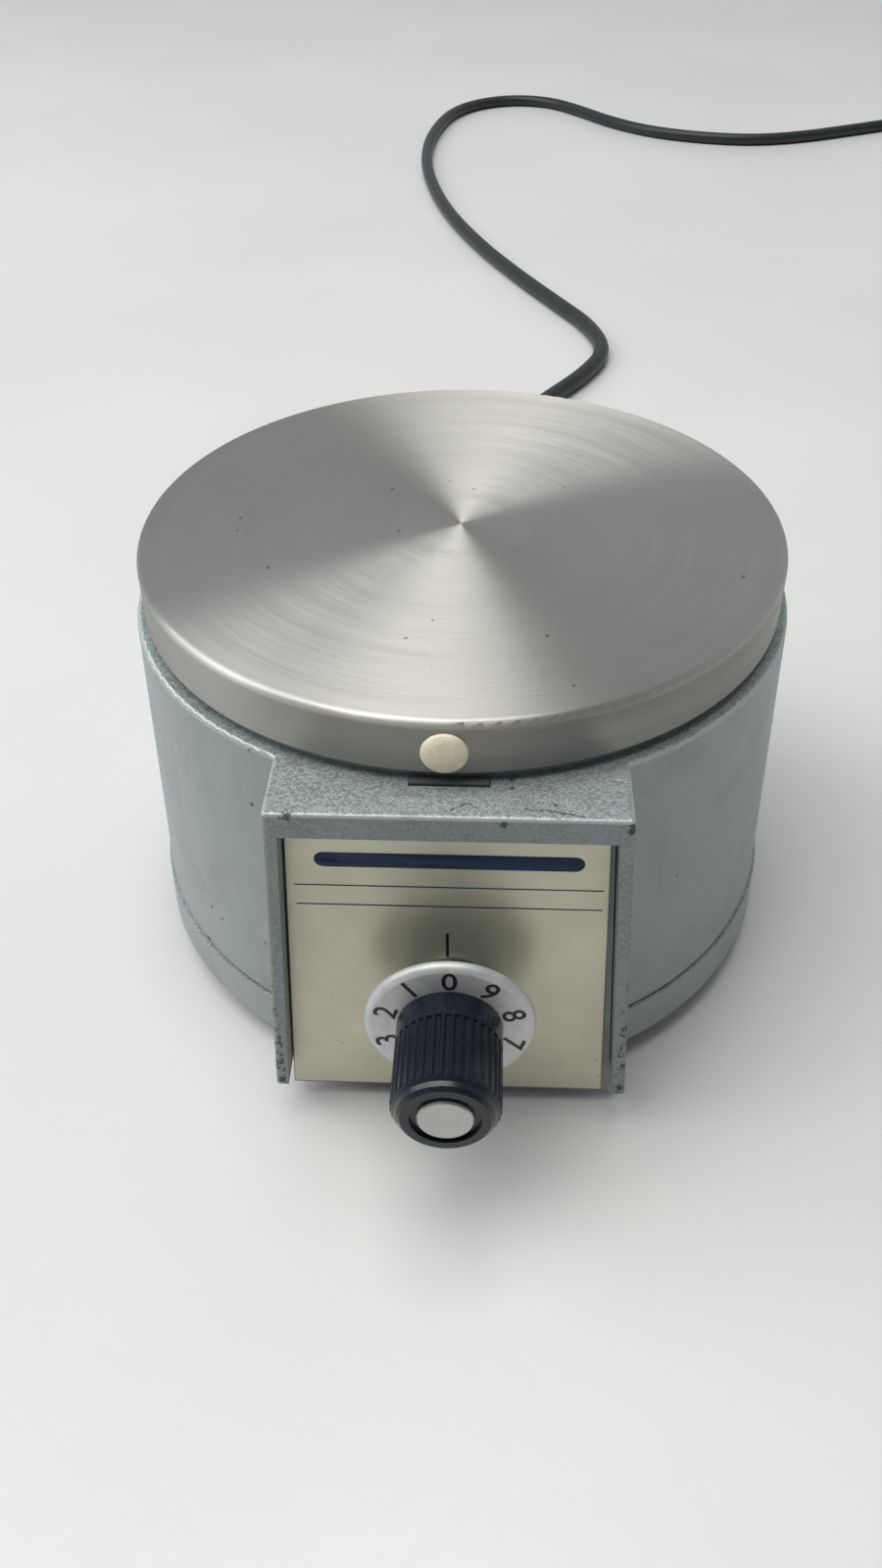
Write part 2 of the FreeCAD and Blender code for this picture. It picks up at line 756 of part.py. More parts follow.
def make_rheostat():
    """Wire-wound speed control behind the panel, with its spindle through the bushing."""
    back = -(d.panel_wall + d.rheostat_depth)
    bore = d.spindle_radius + d.running_gap
    cavity = d.rheostat_radius - d.rheostat_wall
    case = new_body("rheostat_case")
    spin(case, "Revolution", [
        (bore, d.bushing_length), (d.bushing_radius, d.bushing_length), (d.bushing_radius, -d.panel_wall),
        (d.rheostat_radius, -d.panel_wall), (d.rheostat_radius, back), (0, back),
        (0, back + d.rheostat_wall), (cavity, back + d.rheostat_wall),
        (cavity, -(d.panel_wall + d.rheostat_wall)), (bore, -(d.panel_wall + d.rheostat_wall)),
    ])
    on_panel(case)

    winding = new_body("rheostat_winding")
    depth = d.rheostat_depth * 0.35
    ring = new_sketch(winding, "XY_Plane", back + d.rheostat_wall)
    circle(ring, 0, 0, cavity - d.fit_gap / 3)
    circle(ring, 0, 0, cavity - 3)
    pad(winding, ring, depth)
    gap = new_sketch(winding, "XY_Plane", back + d.rheostat_wall)
    rectangle(gap, -2, 2, -(cavity + 1), 0)
    pocket(winding, gap, depth + 1, True)
    on_panel(winding)

    spindle = new_body("spindle")
    spindle_back = back + d.rheostat_wall + d.fit_gap
    rod = new_sketch(spindle, "XY_Plane", spindle_back)
    circle(rod, 0, 0, d.spindle_radius)
    pad(spindle, rod, d.spindle_reach - spindle_back)
    on_panel(spindle)

    wiper = new_body("wiper_arm")
    arm_low = back + d.rheostat_wall + depth + d.fit_gap
    arm = new_sketch(wiper, "XY_Plane", arm_low)
    circle(arm, 0, 0, d.spindle_radius + 2.5)
    circle(arm, 0, 0, d.spindle_radius)
    pad(wiper, arm, 3)
    finger = new_sketch(wiper, "XY_Plane", arm_low)
    rectangle(finger, -2, 2, -(cavity - 1), -(d.spindle_radius + 1.5))
    pad(wiper, finger, 1.2)
    on_panel(wiper)

    lugs = new_body("rheostat_lugs")
    lugs.AllowCompound = True
    tabs = new_sketch(lugs, "XY_Plane", back)
    for middle in (-7.5, 0, 7.5):
        rectangle(tabs, middle - 1.5, middle + 1.5, -11.0, -10.2)
    pad(lugs, tabs, 5, True)
    on_panel(lugs)

    washer = new_body("control_washer")
    spin(washer, "Revolution", [
        (d.bushing_radius + d.running_gap, d.label_wall), (d.nut_radius + 0.7, d.label_wall),
        (d.nut_radius + 0.7, d.label_wall + d.washer_height),
        (d.bushing_radius + d.running_gap, d.label_wall + d.washer_height),
    ])
    on_panel(washer)
    nut = new_body("control_nut")
    shape = new_sketch(nut, "XY_Plane", d.label_wall + d.washer_height)
    outline(shape, hexagon(d.nut_radius))
    circle(shape, 0, 0, d.bushing_radius + d.running_gap)
    pad(nut, shape, d.nut_height)
    on_panel(nut)


# ---------------------------------------------------------------- knob


def make_knob():
    """Numbered metal skirt, fluted black knob, metal cap and set screw."""
    skirt = new_body("dial_skirt")
    hub = d.knob_radius - 1.5
    shell = spin(skirt, "Revolution", [
        (hub + d.fit_gap / 6, d.skirt_front), (d.skirt_radius, d.skirt_front),
        (d.skirt_radius, d.skirt_back), (d.skirt_radius - d.skirt_wall, d.skirt_back),
        (d.skirt_radius - d.skirt_wall - 0.6, d.skirt_front - d.skirt_wall),
        (hub + d.fit_gap / 6, d.skirt_front - d.skirt_wall),
    ])
    rounded = soften(skirt, shell, d.skirt_edge, ring_edge(d.skirt_radius, d.skirt_front))
    skirt.Tip = rounded
    on_panel(skirt)

    knob = new_body("knob_body")
    collar_front = d.skirt_front + d.collar_length
    flute_front = d.knob_front - d.nose_length
    bore = d.spindle_radius + d.running_gap / 2
    pocket_radius = d.nut_radius + 0.6
    pocket_front = d.bushing_length + d.fit_gap + 1
    spin(knob, "Revolution", [
        (pocket_radius, d.knob_back), (hub, d.knob_back), (hub, d.skirt_front),
        (d.knob_radius, d.skirt_front), (d.knob_radius, flute_front),
        (d.nose_radius + 0.4, flute_front + 1.0), (d.nose_radius, d.knob_front - 0.8),
        (d.nose_radius - 0.8, d.knob_front), (d.cap_ring, d.knob_front),
        (d.cap_ring, d.knob_front - 0.9), (d.cap_radius + d.running_gap, d.knob_front - 0.9),
        (d.cap_radius + d.running_gap, d.knob_front - d.cap_height), (0, d.knob_front - d.cap_height),
        (0, d.spindle_reach + d.fit_gap), (bore, d.spindle_reach + d.fit_gap), (bore, pocket_front),
        (pocket_radius, pocket_front),
    ])
    flute = new_sketch(knob, "XY_Plane", collar_front)
    circle(flute, 0, d.knob_radius + d.flute_radius * 0.35, d.flute_radius)
    groove = pocket(knob, flute, d.nose_length + d.knob_front, True)
    repeat(knob, groove, d.flutes)
    doc.recompute()
    screw_hole = new_sketch(knob, "XZ_Plane")
    screw_level = d.skirt_front + d.collar_length / 2
    circle(screw_hole, 0, screw_level, d.screw_radius)
    pocket(knob, screw_hole, d.knob_radius + 2, True)
    on_panel(knob)

    cap = new_body("knob_cap")
    spin(cap, "Revolution", [
        (0, d.knob_front - d.cap_height), (d.cap_radius, d.knob_front - d.cap_height),
        (d.cap_radius, d.knob_front - 0.2), (d.cap_radius - 0.3, d.knob_front + 0.15),
        (0, d.knob_front + 0.15),
    ])
    on_panel(cap)

    screw = new_body("knob_setscrew")
    rod = new_sketch(screw, "XZ_Plane", d.spindle_radius + d.running_gap / 2)
    circle(rod, 0, screw_level, d.screw_radius - d.running_gap)
    pad(screw, rod, d.knob_radius - d.spindle_radius - 2)
    on_panel(screw)


# ---------------------------------------------------------------- motor


def make_motor():
    """Shaded-pole motor between two bearing brackets, bolted up through the base."""
    stator = new_body("motor_stator")
    core = new_sketch(stator, "XY_Plane", stator_bottom)
    rectangle(core, -d.stator_half_width, d.stator_half_width, -d.stator_front, d.stator_back)
    circle(core, 0, 0, d.rotor_radius + d.air_gap)
    rectangle(core, -d.window_half_width, d.window_half_width, d.window_front, d.window_back)
    for side in (-1, 1):
        circle(core, side * d.bolt_offset, 0, d.bolt_radius + d.fit_gap / 2)
    pad(stator, core, d.stator_height)

    limb_y = (d.window_back, d.stator_back)
    limb_z = (stator_bottom, stator_top)
    inner = d.fit_gap / 3
    wall = inner + d.bobbin_wall
    outer = wall + d.coil_build - d.bobbin_wall
    side = d.window_half_width - 1

    def sleeve(label, half_length, hole, skin):
        """A square sleeve round the stator's back limb."""
        shell = box(label + "_shell", (-half_length, half_length), (limb_y[0] - skin, limb_y[1] + skin),
                    (limb_z[0] - skin, limb_z[1] + skin))
        core_hole = box(label + "_hole", (-half_length - 1, half_length + 1),
                        (limb_y[0] - hole, limb_y[1] + hole), (limb_z[0] - hole, limb_z[1] + hole))
        return cut(label, shell, core_hole)

    sleeve("coil_bobbin", side, inner, wall)
    sleeve("motor_coil", side - 1, wall, outer)

    tube("rotor", d.rotor_radius, d.shaft_radius, d.stator_height + 2, 0, 0, stator_bottom - 1)
    shaft_bottom = lower_bracket_z - 4
    cylinder("motor_shaft", d.shaft_radius, carrier_bottom - shaft_bottom, 0, 0, shaft_bottom)

    for label, level in (("lower_bracket", lower_bracket_z), ("upper_bracket", upper_bracket_z)):
        bracket = new_body(label)
        strap = new_sketch(bracket, "XY_Plane", level)
        rectangle(strap, -d.stator_half_width, d.stator_half_width, -d.bracket_half_width,
                  d.bracket_half_width)
        circle(strap, 0, 0, d.bearing_radius)
        for side_sign in (-1, 1):
            circle(strap, side_sign * d.bolt_offset, 0, d.bolt_radius + d.fit_gap / 2)
        pad(bracket, strap, d.bracket_wall)
    bearing_drop = (d.bearing_length - d.bracket_wall) / 2
    tube("lower_bearing", d.bearing_radius, d.shaft_radius + d.running_gap, d.bearing_length,
         0, 0, lower_bracket_z - bearing_drop)
    tube("upper_bearing", d.bearing_radius, d.shaft_radius + d.running_gap, d.bearing_length,
         0, 0, upper_bracket_z - bearing_drop)

    standoffs = []
    spacers = []
    bolts = []
    nuts = []
    for number, side_sign in enumerate((-1, 1), start=1):
        x = side_sign * d.bolt_offset
        bore = d.bolt_radius + d.fit_gap / 2
        standoffs.append(tube("standoff_%d" % number, 5, bore, lower_bracket_z - base_floor_top,
                              x, 0, base_floor_top))
        for name, level in (("low", lower_bracket_z + d.bracket_wall), ("high", stator_top)):
            spacers.append(tube("spacer_%s_%d" % (name, number), 4, bore, d.bracket_offset, x, 0, level))
        length = upper_bracket_z + d.bracket_wall + d.bolt_end - d.foot_height
        head = cylinder("bolt_head_%d" % number, d.screw_head_radius + 0.4, d.screw_head,
                        x, 0, d.foot_height - d.screw_head)
        shank = cylinder("bolt_shank_%d" % number, d.bolt_radius, length, x, 0, d.foot_height)
        bolts.append(fuse("bolt_%d" % number, [head, shank]))
        nuts.append(tube("bolt_nut_%d" % number, 3.8, d.bolt_radius, 3, x, 0,
                         upper_bracket_z + d.bracket_wall))
    fuse("motor_standoffs", standoffs)
    fuse("stator_spacers", spacers)
    fuse("motor_bolts", bolts)
    fuse("motor_nuts", nuts)


# ---------------------------------------------------------------- stirring magnet


def make_magnet():
    """Hub and steel bar on the motor's shaft, with two magnets close under the plate."""
    hub = new_body("magnet_hub")
    spigot = d.hub_radius / 2
    spin(hub, "Revolution", [
        (d.shaft_radius, hub_bottom), (d.hub_radius, hub_bottom), (d.hub_radius, carrier_bottom),
        (spigot, carrier_bottom), (spigot, magnet_bottom), (0, magnet_bottom), (0, carrier_bottom),
        (d.shaft_radius, carrier_bottom),
    ])
    hole = new_sketch(hub, "XZ_Plane")
    circle(hole, 0, hub_bottom + d.hub_height / 2, d.screw_radius)
    pocket(hub, hole, d.hub_radius + 2, True)

    screw = new_body("hub_setscrew")
    rod = new_sketch(screw, "XZ_Plane", d.shaft_radius)
    circle(rod, 0, hub_bottom + d.hub_height / 2, d.screw_radius - d.running_gap)
    pad(screw, rod, d.hub_radius - d.shaft_radius - 0.5)

    carrier = new_body("magnet_carrier")
    bar = new_sketch(carrier, "XY_Plane", carrier_bottom)
    rectangle(bar, -d.magnet_reach, d.magnet_reach, -d.magnet_half_width, d.magnet_half_width)
    circle(bar, 0, 0, spigot)
    pad(carrier, bar, d.carrier_wall)

    near = d.magnet_reach - d.magnet_length
    blocks = [
        box(label, ends, (-d.magnet_half_width, d.magnet_half_width),
            (magnet_bottom, magnet_bottom + d.magnet_height))
        for label, ends in (("magnet_left", (-d.magnet_reach, -near)),
                            ("magnet_right", (near, d.magnet_reach)))
    ]
    fuse("drive_magnets", blocks)


# ---------------------------------------------------------------- wiring and mains lead

# The mains lead's route: down from the gland to the bench, then flat along it to where its coil starts.
CORD_DROP = [(-3, 176, 21), (-3, 210, 10), (3, 243, 4.9)]
CORD_LYING = [
    (14, 276), (30, 306), (49, 334), (62, 364), (56, 397), (38, 432), (17, 474), (-4, 521), (-24, 577),
    (-38, 634), (-47, 695), (-48, 752), (-42, 800), (-33, 836), (-14, 864), (15, 877), (45, 869),
    (67, 843), (90, 808), (120, 779), (157, 763), (193, 757), (229, 766), (265, 783), (297, 799),
    (329, 814.5),
]
COIL_START = (361.5, 822.7, 4.8)
FIRST_RUN = 30.4
# From the top of the coil down to the bench and up to the plug beside it.
TAIL_ROUTE = [(406.5, 765, 12.6), (409, 742, 4.7), (408.5, 718, 4.7), (406.5, 697, 10.5)]


def rounded_path(points, share=0.45):
    """Straight runs joined by tangent arcs, each arc as large as its two runs allow."""
    edges = []
    radii = []
    start = points[0]
    for before, corner, after in zip(points, points[1:], points[2:]):
        back = before - corner
        ahead = after - corner
        turn = math.pi - back.getAngle(ahead)
        cut_back = share * min(back.Length, ahead.Length)
        radii.append(cut_back / math.tan(turn / 2))
        first = corner + back.normalize() * cut_back
        last = corner + ahead.normalize() * cut_back
        towards = (first + last) * 0.5 - corner
        sag = radii[-1] / math.cos(turn / 2) - radii[-1]
        middle = corner + towards.normalize() * sag
        edges.append(Part.LineSegment(start, first).toShape())
        edges.append(Part.Arc(first, middle, last).toShape())
        start = last
    edges.append(Part.LineSegment(start, points[-1]).toShape())
    return Part.Wire(edges), radii


def round_tube(points, radius, share=0.45):
    """A round tube along a path of runs and arcs, checked against its section times its length."""
    wire, radii = rounded_path([Vector(*point) for point in points], share)
    start = Vector(*points[0])
    ahead = Vector(*points[1]) - start
    section = Part.Wire([Part.Circle(start, ahead, radius).toShape()])
    solid = wire.makePipeShell([section], True, False)
    expected = math.pi * radius ** 2 * wire.Length
    if abs(solid.Volume / expected - 1) > 0.01:
        raise ValueError("a tube's volume doesn't match its length")
    return solid, wire.Length, radii


def shape_node(label, shape):
    """A node whose shape is worked out by the functions above."""
    item = doc.addObject("Part::Feature", label)
    item.Label = label
    item.Shape = shape
    return item


def make_gland():
    """Flanged strain relief through the housing's back wall, tapered outside."""
    turn = dict(axis=X_AXIS, angle=-90)
    inner_end = gland_y - d.casting_wall - 5
    body = cylinder("gland_body", d.gland_radius, gland_y - inner_end, 0, inner_end, d.gland_height, **turn)
    flange = cylinder("gland_flange_ring", d.gland_flange, d.gland_flange_wall,
                      0, gland_y, d.gland_height, **turn)
    tail = cone("gland_tail_cone", d.gland_radius - 1, d.gland_tip, d.gland_tail,
                0, gland_y + d.gland_flange_wall, d.gland_height, **turn)
    bore = cylinder("gland_bore", d.cord_radius + d.fit_gap / 3, gland_y + 40,
                    0, inner_end - 1, d.gland_height, **turn)
    cut("strain_relief", fuse("gland_outside", [body, flange, tail]), bore)


def make_cord():
    """Mains lead, its put-away coil with a tie, and the plug beside it."""
    radius = d.cord_radius.number
    tip_y = (gland_y + d.gland_flange_wall + d.gland_tail).number
    level = d.gland_height.number
    lying = [(x, y, radius) for x, y in CORD_LYING]
    route = [(0, tip_y, level), (0, tip_y + FIRST_RUN, level)] + CORD_DROP + lying + [COIL_START]
    solid, length, radii = round_tube(route, radius)
    shape_node("cord", solid)
    print("cord length", round(length, 1), "radii", [round(value) for value in radii])
    solid, tail_length, radii = round_tube(TAIL_ROUTE, radius)
    shape_node("cord_tail", solid)
    print("tail length", round(tail_length, 1), "radii", [round(value) for value in radii])

    body = new_body("cord_coil")
    inner = d.coil_radius - 3 * d.cord_radius
    outer = d.coil_radius + 3 * d.cord_radius
    low = d.tie_wall + 0.1
    high = low + 4 * d.cord_radius
    spin(body, "Revolution", [(inner, low), (outer, low), (outer, high), (inner, high)])
    place(body, d.coil_x, d.coil_y, 0)

    half = 2.5
    near = d.coil_y - outer - d.fit_gap
    far = d.coil_y - inner + d.fit_gap
    above = high + 0.1
    outside = box("tie_outside", (d.coil_x - half, d.coil_x + half), (near - d.tie_wall, far + d.tie_wall),
                  (0, above + d.tie_wall))
    inside = box("tie_inside", (d.coil_x - half - 1, d.coil_x + half + 1), (near, far), (d.tie_wall, above))
    cut("coil_tie", outside, inside)


def make_plug():
    """Three-pin mains plug: a moulded body, two flat blades and an earth pin."""
    x, y, _ = TAIL_ROUTE[-1]
    width = d.plug_half_width
    neck = d.cord_radius + 1.4
    body = new_body("plug_body")
    side = new_sketch(body, "XY_Plane")
    half = [
        (neck, 0), (neck, -d.plug_grip), (width * 0.72, -d.plug_waist), (width, -d.plug_shoulder),
        (width, -d.plug_length),
    ]
    outline(side, [(-across, along) for across, along in half] + half[::-1])
    moulding = pad(body, side, d.plug_height)

    def long_edge(edge):
        """The edges of the body's two sides at its top and its bottom."""
        middle = edge.CenterOfMass
        level = abs(edge.tangentAt(0).z) < 0.5
        return level and -d.plug_length.number + 1 < middle.y < -d.plug_shoulder.number

    body.Tip = soften(body, moulding, d.plug_round, long_edge)
    place(body, x, y, 0)
    front = y - d.plug_length
    blades = [
        box("blade_%d" % number, (x + side_x - d.blade_half_wall, x + side_x + d.blade_half_wall),
            (front - d.blade_length, front), (d.blade_bottom, d.blade_bottom + d.blade_width))
        for number, side_x in enumerate((-d.blade_offset, d.blade_offset), start=1)
    ]
    fuse("plug_blades", blades)
    cylinder("plug_earth_pin", d.earth_pin_radius, d.earth_pin_length,
             x, front, d.earth_pin_height, X_AXIS, 90)


def wires(label, routes, radius):
    """One node of separate insulated wires."""
    solids = [round_tube(points, radius, 0.4)[0] for points in routes]
    shape_node(label, Part.makeCompound(solids))


def make_wiring():
    """Terminal block on the base, its earth screw and the insulated wires that meet at it."""
    box("terminal_block", (-d.terminal_half_width, d.terminal_half_width),
        (terminal_y - d.terminal_half_depth, terminal_y + d.terminal_half_depth),
        (base_floor_top, terminal_top))
    earth = (-d.earth_offset, terminal_y, base_floor_top)
    post = cylinder("earth_post", d.screw_radius, 6, *earth)
    head = cylinder("earth_nut", d.screw_head_radius, d.screw_head, *earth)
    fuse("earth_screw", [head, post])

    inside = gland_y - d.casting_wall - 12
    cylinder("cord_in_gland", d.cord_radius, gland_y + d.gland_flange_wall + d.gland_tail - inside,
             0, inside, d.gland_height, X_AXIS, -90)
    start = inside.number
    level = d.gland_height.number
    middle = terminal_y.number
    top = terminal_top.number
    radius = d.wire_radius.number
    wires("supply_wires", [
        [(x * 0.24, start, level), (x * 0.24, start - 3, level), (x, middle, level - 5), (x, middle, top)]
        for x in (-8, 0, 8)
    ], radius)

    coil_back = (d.stator_back + d.fit_gap / 3 + d.coil_build).number
    coil_level = stator_bottom.number + 2
    wires("coil_leads", [
        [(x, coil_back, coil_level), (x, coil_back + 4, coil_level),
         (x * 0.9, middle - 3, (coil_level + top) / 2), (x * 0.9, middle - 3, top)]
        for x in (-13, 13)
    ], radius)

    lug_y = (panel_face_y + d.panel_wall + d.rheostat_depth).number + 5.5
    lug_level = d.knob_height.number - 12.5
    floor = base_floor_top.number
    wires("control_leads", [
        [(x, lug_y, lug_level), (x, lug_y + 9, lug_level - 8), (x * 1.6, lug_y + 32, floor + 4.5),
         (x * 1.6, middle - 30, floor + 5.5), (x * 0.5, middle - 10, top + 6.5),
         (x * 0.5, middle - 3.5, top + 6.5), (x * 0.5, middle - 3.5, top)]
        for x in (-7.5, 7.5)
    ], radius)


NODES = [
    "housing", "top_plate", "plate_button", "plate_pad", "base_pan", "rubber_feet", "foot_screws",
    "housing_screws", "panel_screws", "front_panel", "nameplate", "rheostat_case", "rheostat_winding",
    "rheostat_lugs", "spindle", "wiper_arm", "control_washer", "control_nut", "dial_skirt", "knob_body",
    "knob_cap", "knob_setscrew", "motor_stator", "coil_bobbin", "motor_coil", "rotor", "motor_shaft",
    "lower_bracket", "upper_bracket", "lower_bearing", "upper_bearing", "motor_standoffs",
    "stator_spacers", "motor_bolts", "motor_nuts", "magnet_hub", "hub_setscrew", "magnet_carrier",
    "drive_magnets", "terminal_block", "earth_screw", "supply_wires", "coil_leads", "control_leads",
    "strain_relief", "cord_in_gland", "cord", "cord_coil", "cord_tail", "coil_tie", "plug_body",
    "plug_blades", "plug_earth_pin",
]


def check_and_export():
    """Stop on any failed object, then write each node to its own file."""
    doc.recompute()
    for item in doc.Objects:
        if "Invalid" in item.State or "Error" in item.State:
            raise ValueError("%s failed to build" % item.Label)
    os.makedirs("parts", exist_ok=True)
    for label in NODES:
        found = [item for item in doc.getObjectsByLabel(label) if hasattr(item, "Shape")]
        shape = found[0].Shape
        if shape.isNull() or not shape.isValid():
            raise ValueError("%s has no valid shape" % label)
        shape.exportStep("parts/%s.step" % label)
        print(label, len(shape.Solids), round(shape.Volume, 1))


make_housing()
make_top()
make_base()
make_feet()
make_screws()
make_panel()
make_rheostat()
make_knob()
make_motor()
make_magnet()
make_gland()
make_cord()
make_plug()
make_wiring()
check_and_export()
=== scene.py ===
"""Looks of the magnetic stirrer: materials, printed figures and the mains lead.

Metres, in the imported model's frame: +Z up, the control panel faces -Y, the origin is on the bench
under the stirring axis.
"""

import json
import math

import bmesh
import bpy
from mathutils import Matrix, Vector


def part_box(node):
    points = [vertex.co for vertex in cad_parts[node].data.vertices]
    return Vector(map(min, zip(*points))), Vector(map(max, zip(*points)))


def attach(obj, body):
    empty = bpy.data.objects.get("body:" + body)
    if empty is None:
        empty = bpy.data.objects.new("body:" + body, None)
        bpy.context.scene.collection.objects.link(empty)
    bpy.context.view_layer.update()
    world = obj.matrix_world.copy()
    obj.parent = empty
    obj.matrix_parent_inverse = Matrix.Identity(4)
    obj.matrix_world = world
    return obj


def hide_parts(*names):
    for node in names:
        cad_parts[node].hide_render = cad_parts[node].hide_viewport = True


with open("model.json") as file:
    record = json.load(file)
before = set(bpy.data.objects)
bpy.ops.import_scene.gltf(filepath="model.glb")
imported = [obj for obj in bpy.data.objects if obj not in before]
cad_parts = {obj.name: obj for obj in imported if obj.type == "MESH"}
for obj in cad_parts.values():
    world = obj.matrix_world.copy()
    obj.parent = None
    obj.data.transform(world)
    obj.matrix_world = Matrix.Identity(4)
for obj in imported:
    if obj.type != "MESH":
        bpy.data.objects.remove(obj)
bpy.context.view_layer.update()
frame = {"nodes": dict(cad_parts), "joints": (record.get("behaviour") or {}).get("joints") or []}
NODES = frame["nodes"]
MM = 0.001

# ---------------------------------------------------------------- places read from the frame

KNOB_JOINT = [joint for joint in frame["joints"] if joint["name"] == "knob_turn"][0]
KNOB_CENTRE = Vector(KNOB_JOINT["pos_m"])
OUTWARD = -Vector(KNOB_JOINT["axis"]).normalized()
RIGHT = Vector((1, 0, 0))
UPWARD = OUTWARD.cross(RIGHT).normalized()


def reach(node, direction, origin=Vector((0, 0, 0))):
    """How far a node reaches in a direction, measured from a point."""
    return max((vertex.co - origin).dot(direction) for vertex in NODES[node].data.vertices)


def panel_matrix(distance):
    """Axes on the panel: x to the right, y up it, z out of it, at a distance from its face."""
    origin = KNOB_CENTRE + OUTWARD * distance
    rows = Matrix((RIGHT, UPWARD, OUTWARD)).transposed().to_4x4()
    rows.translation = origin
    return rows


PLATE_TOP = reach("top_plate", Vector((0, 0, 1))) / MM
DIAL_FACE = reach("dial_skirt", OUTWARD, KNOB_CENTRE)
LABEL_FACE = reach("nameplate", OUTWARD, KNOB_CENTRE)

# ---------------------------------------------------------------- camera and light

CAMERA_PLACE = (0.0085, -0.2660, 0.2616)
CAMERA_YAW = math.radians(-3.06)
CAMERA_PITCH = math.radians(41.17)
CAMERA_ROLL = math.radians(-0.87)
CAMERA_LENS = 28.95


def make_camera():
    """A camera that looks down at the front of the unit."""
    data = bpy.data.cameras.new("camera")
    data.lens = CAMERA_LENS
    data.sensor_width = 36
    data.clip_start = 0.01
    ahead = Vector((math.sin(CAMERA_YAW) * math.cos(CAMERA_PITCH),
                    math.cos(CAMERA_YAW) * math.cos(CAMERA_PITCH), -math.sin(CAMERA_PITCH)))
    level = Vector((math.cos(CAMERA_YAW), -math.sin(CAMERA_YAW), 0))
    above = level.cross(ahead)
    side = level * math.cos(CAMERA_ROLL) + above * math.sin(CAMERA_ROLL)
    top = above * math.cos(CAMERA_ROLL) - level * math.sin(CAMERA_ROLL)
    matrix = Matrix((side, top, -ahead)).transposed().to_4x4()
    matrix.translation = Vector(CAMERA_PLACE)
    camera = bpy.data.objects.new("camera", data)
    camera.matrix_world = matrix
    bpy.context.scene.collection.objects.link(camera)
    bpy.context.scene.camera = camera


def area_light(name, place, aim, size, power, colour=(1, 1, 1)):
    """A soft rectangular light aimed at a point."""
    data = bpy.data.lights.new(name, "AREA")
    data.shape = "RECTANGLE"
    data.size, data.size_y = size
    data.energy = power
    data.color = colour
    light = bpy.data.objects.new(name, data)
    light.location = place
    direction = Vector(aim) - Vector(place)
    light.rotation_euler = direction.to_track_quat("-Z", "Y").to_euler()
    bpy.context.scene.collection.objects.link(light)


def make_light():
    """A soft room: a wide ceiling light over the unit, a window at the left, a dim room in front."""
    world = bpy.data.worlds.new("room")
    world.use_nodes = True
    tree = world.node_tree
    direction = tree.nodes.new("ShaderNodeTexCoord")
    parts = tree.nodes.new("ShaderNodeSeparateXYZ")
    shade = tree.nodes.new("ShaderNodeMapRange")
    for key, value in (("From Min", -0.7), ("From Max", 0.5), ("To Min", 0.12), ("To Max", 0.46)):
        shade.inputs[key].default_value = value
    tree.links.new(direction.outputs["Generated"], parts.inputs[0])
    tree.links.new(parts.outputs[1], shade.inputs["Value"])
    background = tree.nodes["Background"]
    background.inputs["Color"].default_value = (0.93, 0.96, 1.0, 1)
    tree.links.new(shade.outputs["Result"], background.inputs["Strength"])
    bpy.context.scene.world = world
    bpy.context.scene.view_settings.view_transform = "Standard"
    area_light("ceiling", (-0.55, -0.1, 2.8), (-0.1, 0.1, 0), (1.7, 2.4), 57, (1.0, 0.99, 0.96))
    area_light("left_window", (-1.8, 0.1, 1.4), (0, 0, 0.05), (1.6, 1.6), 22, (0.95, 0.98, 1.0))


# ---------------------------------------------------------------- node helpers


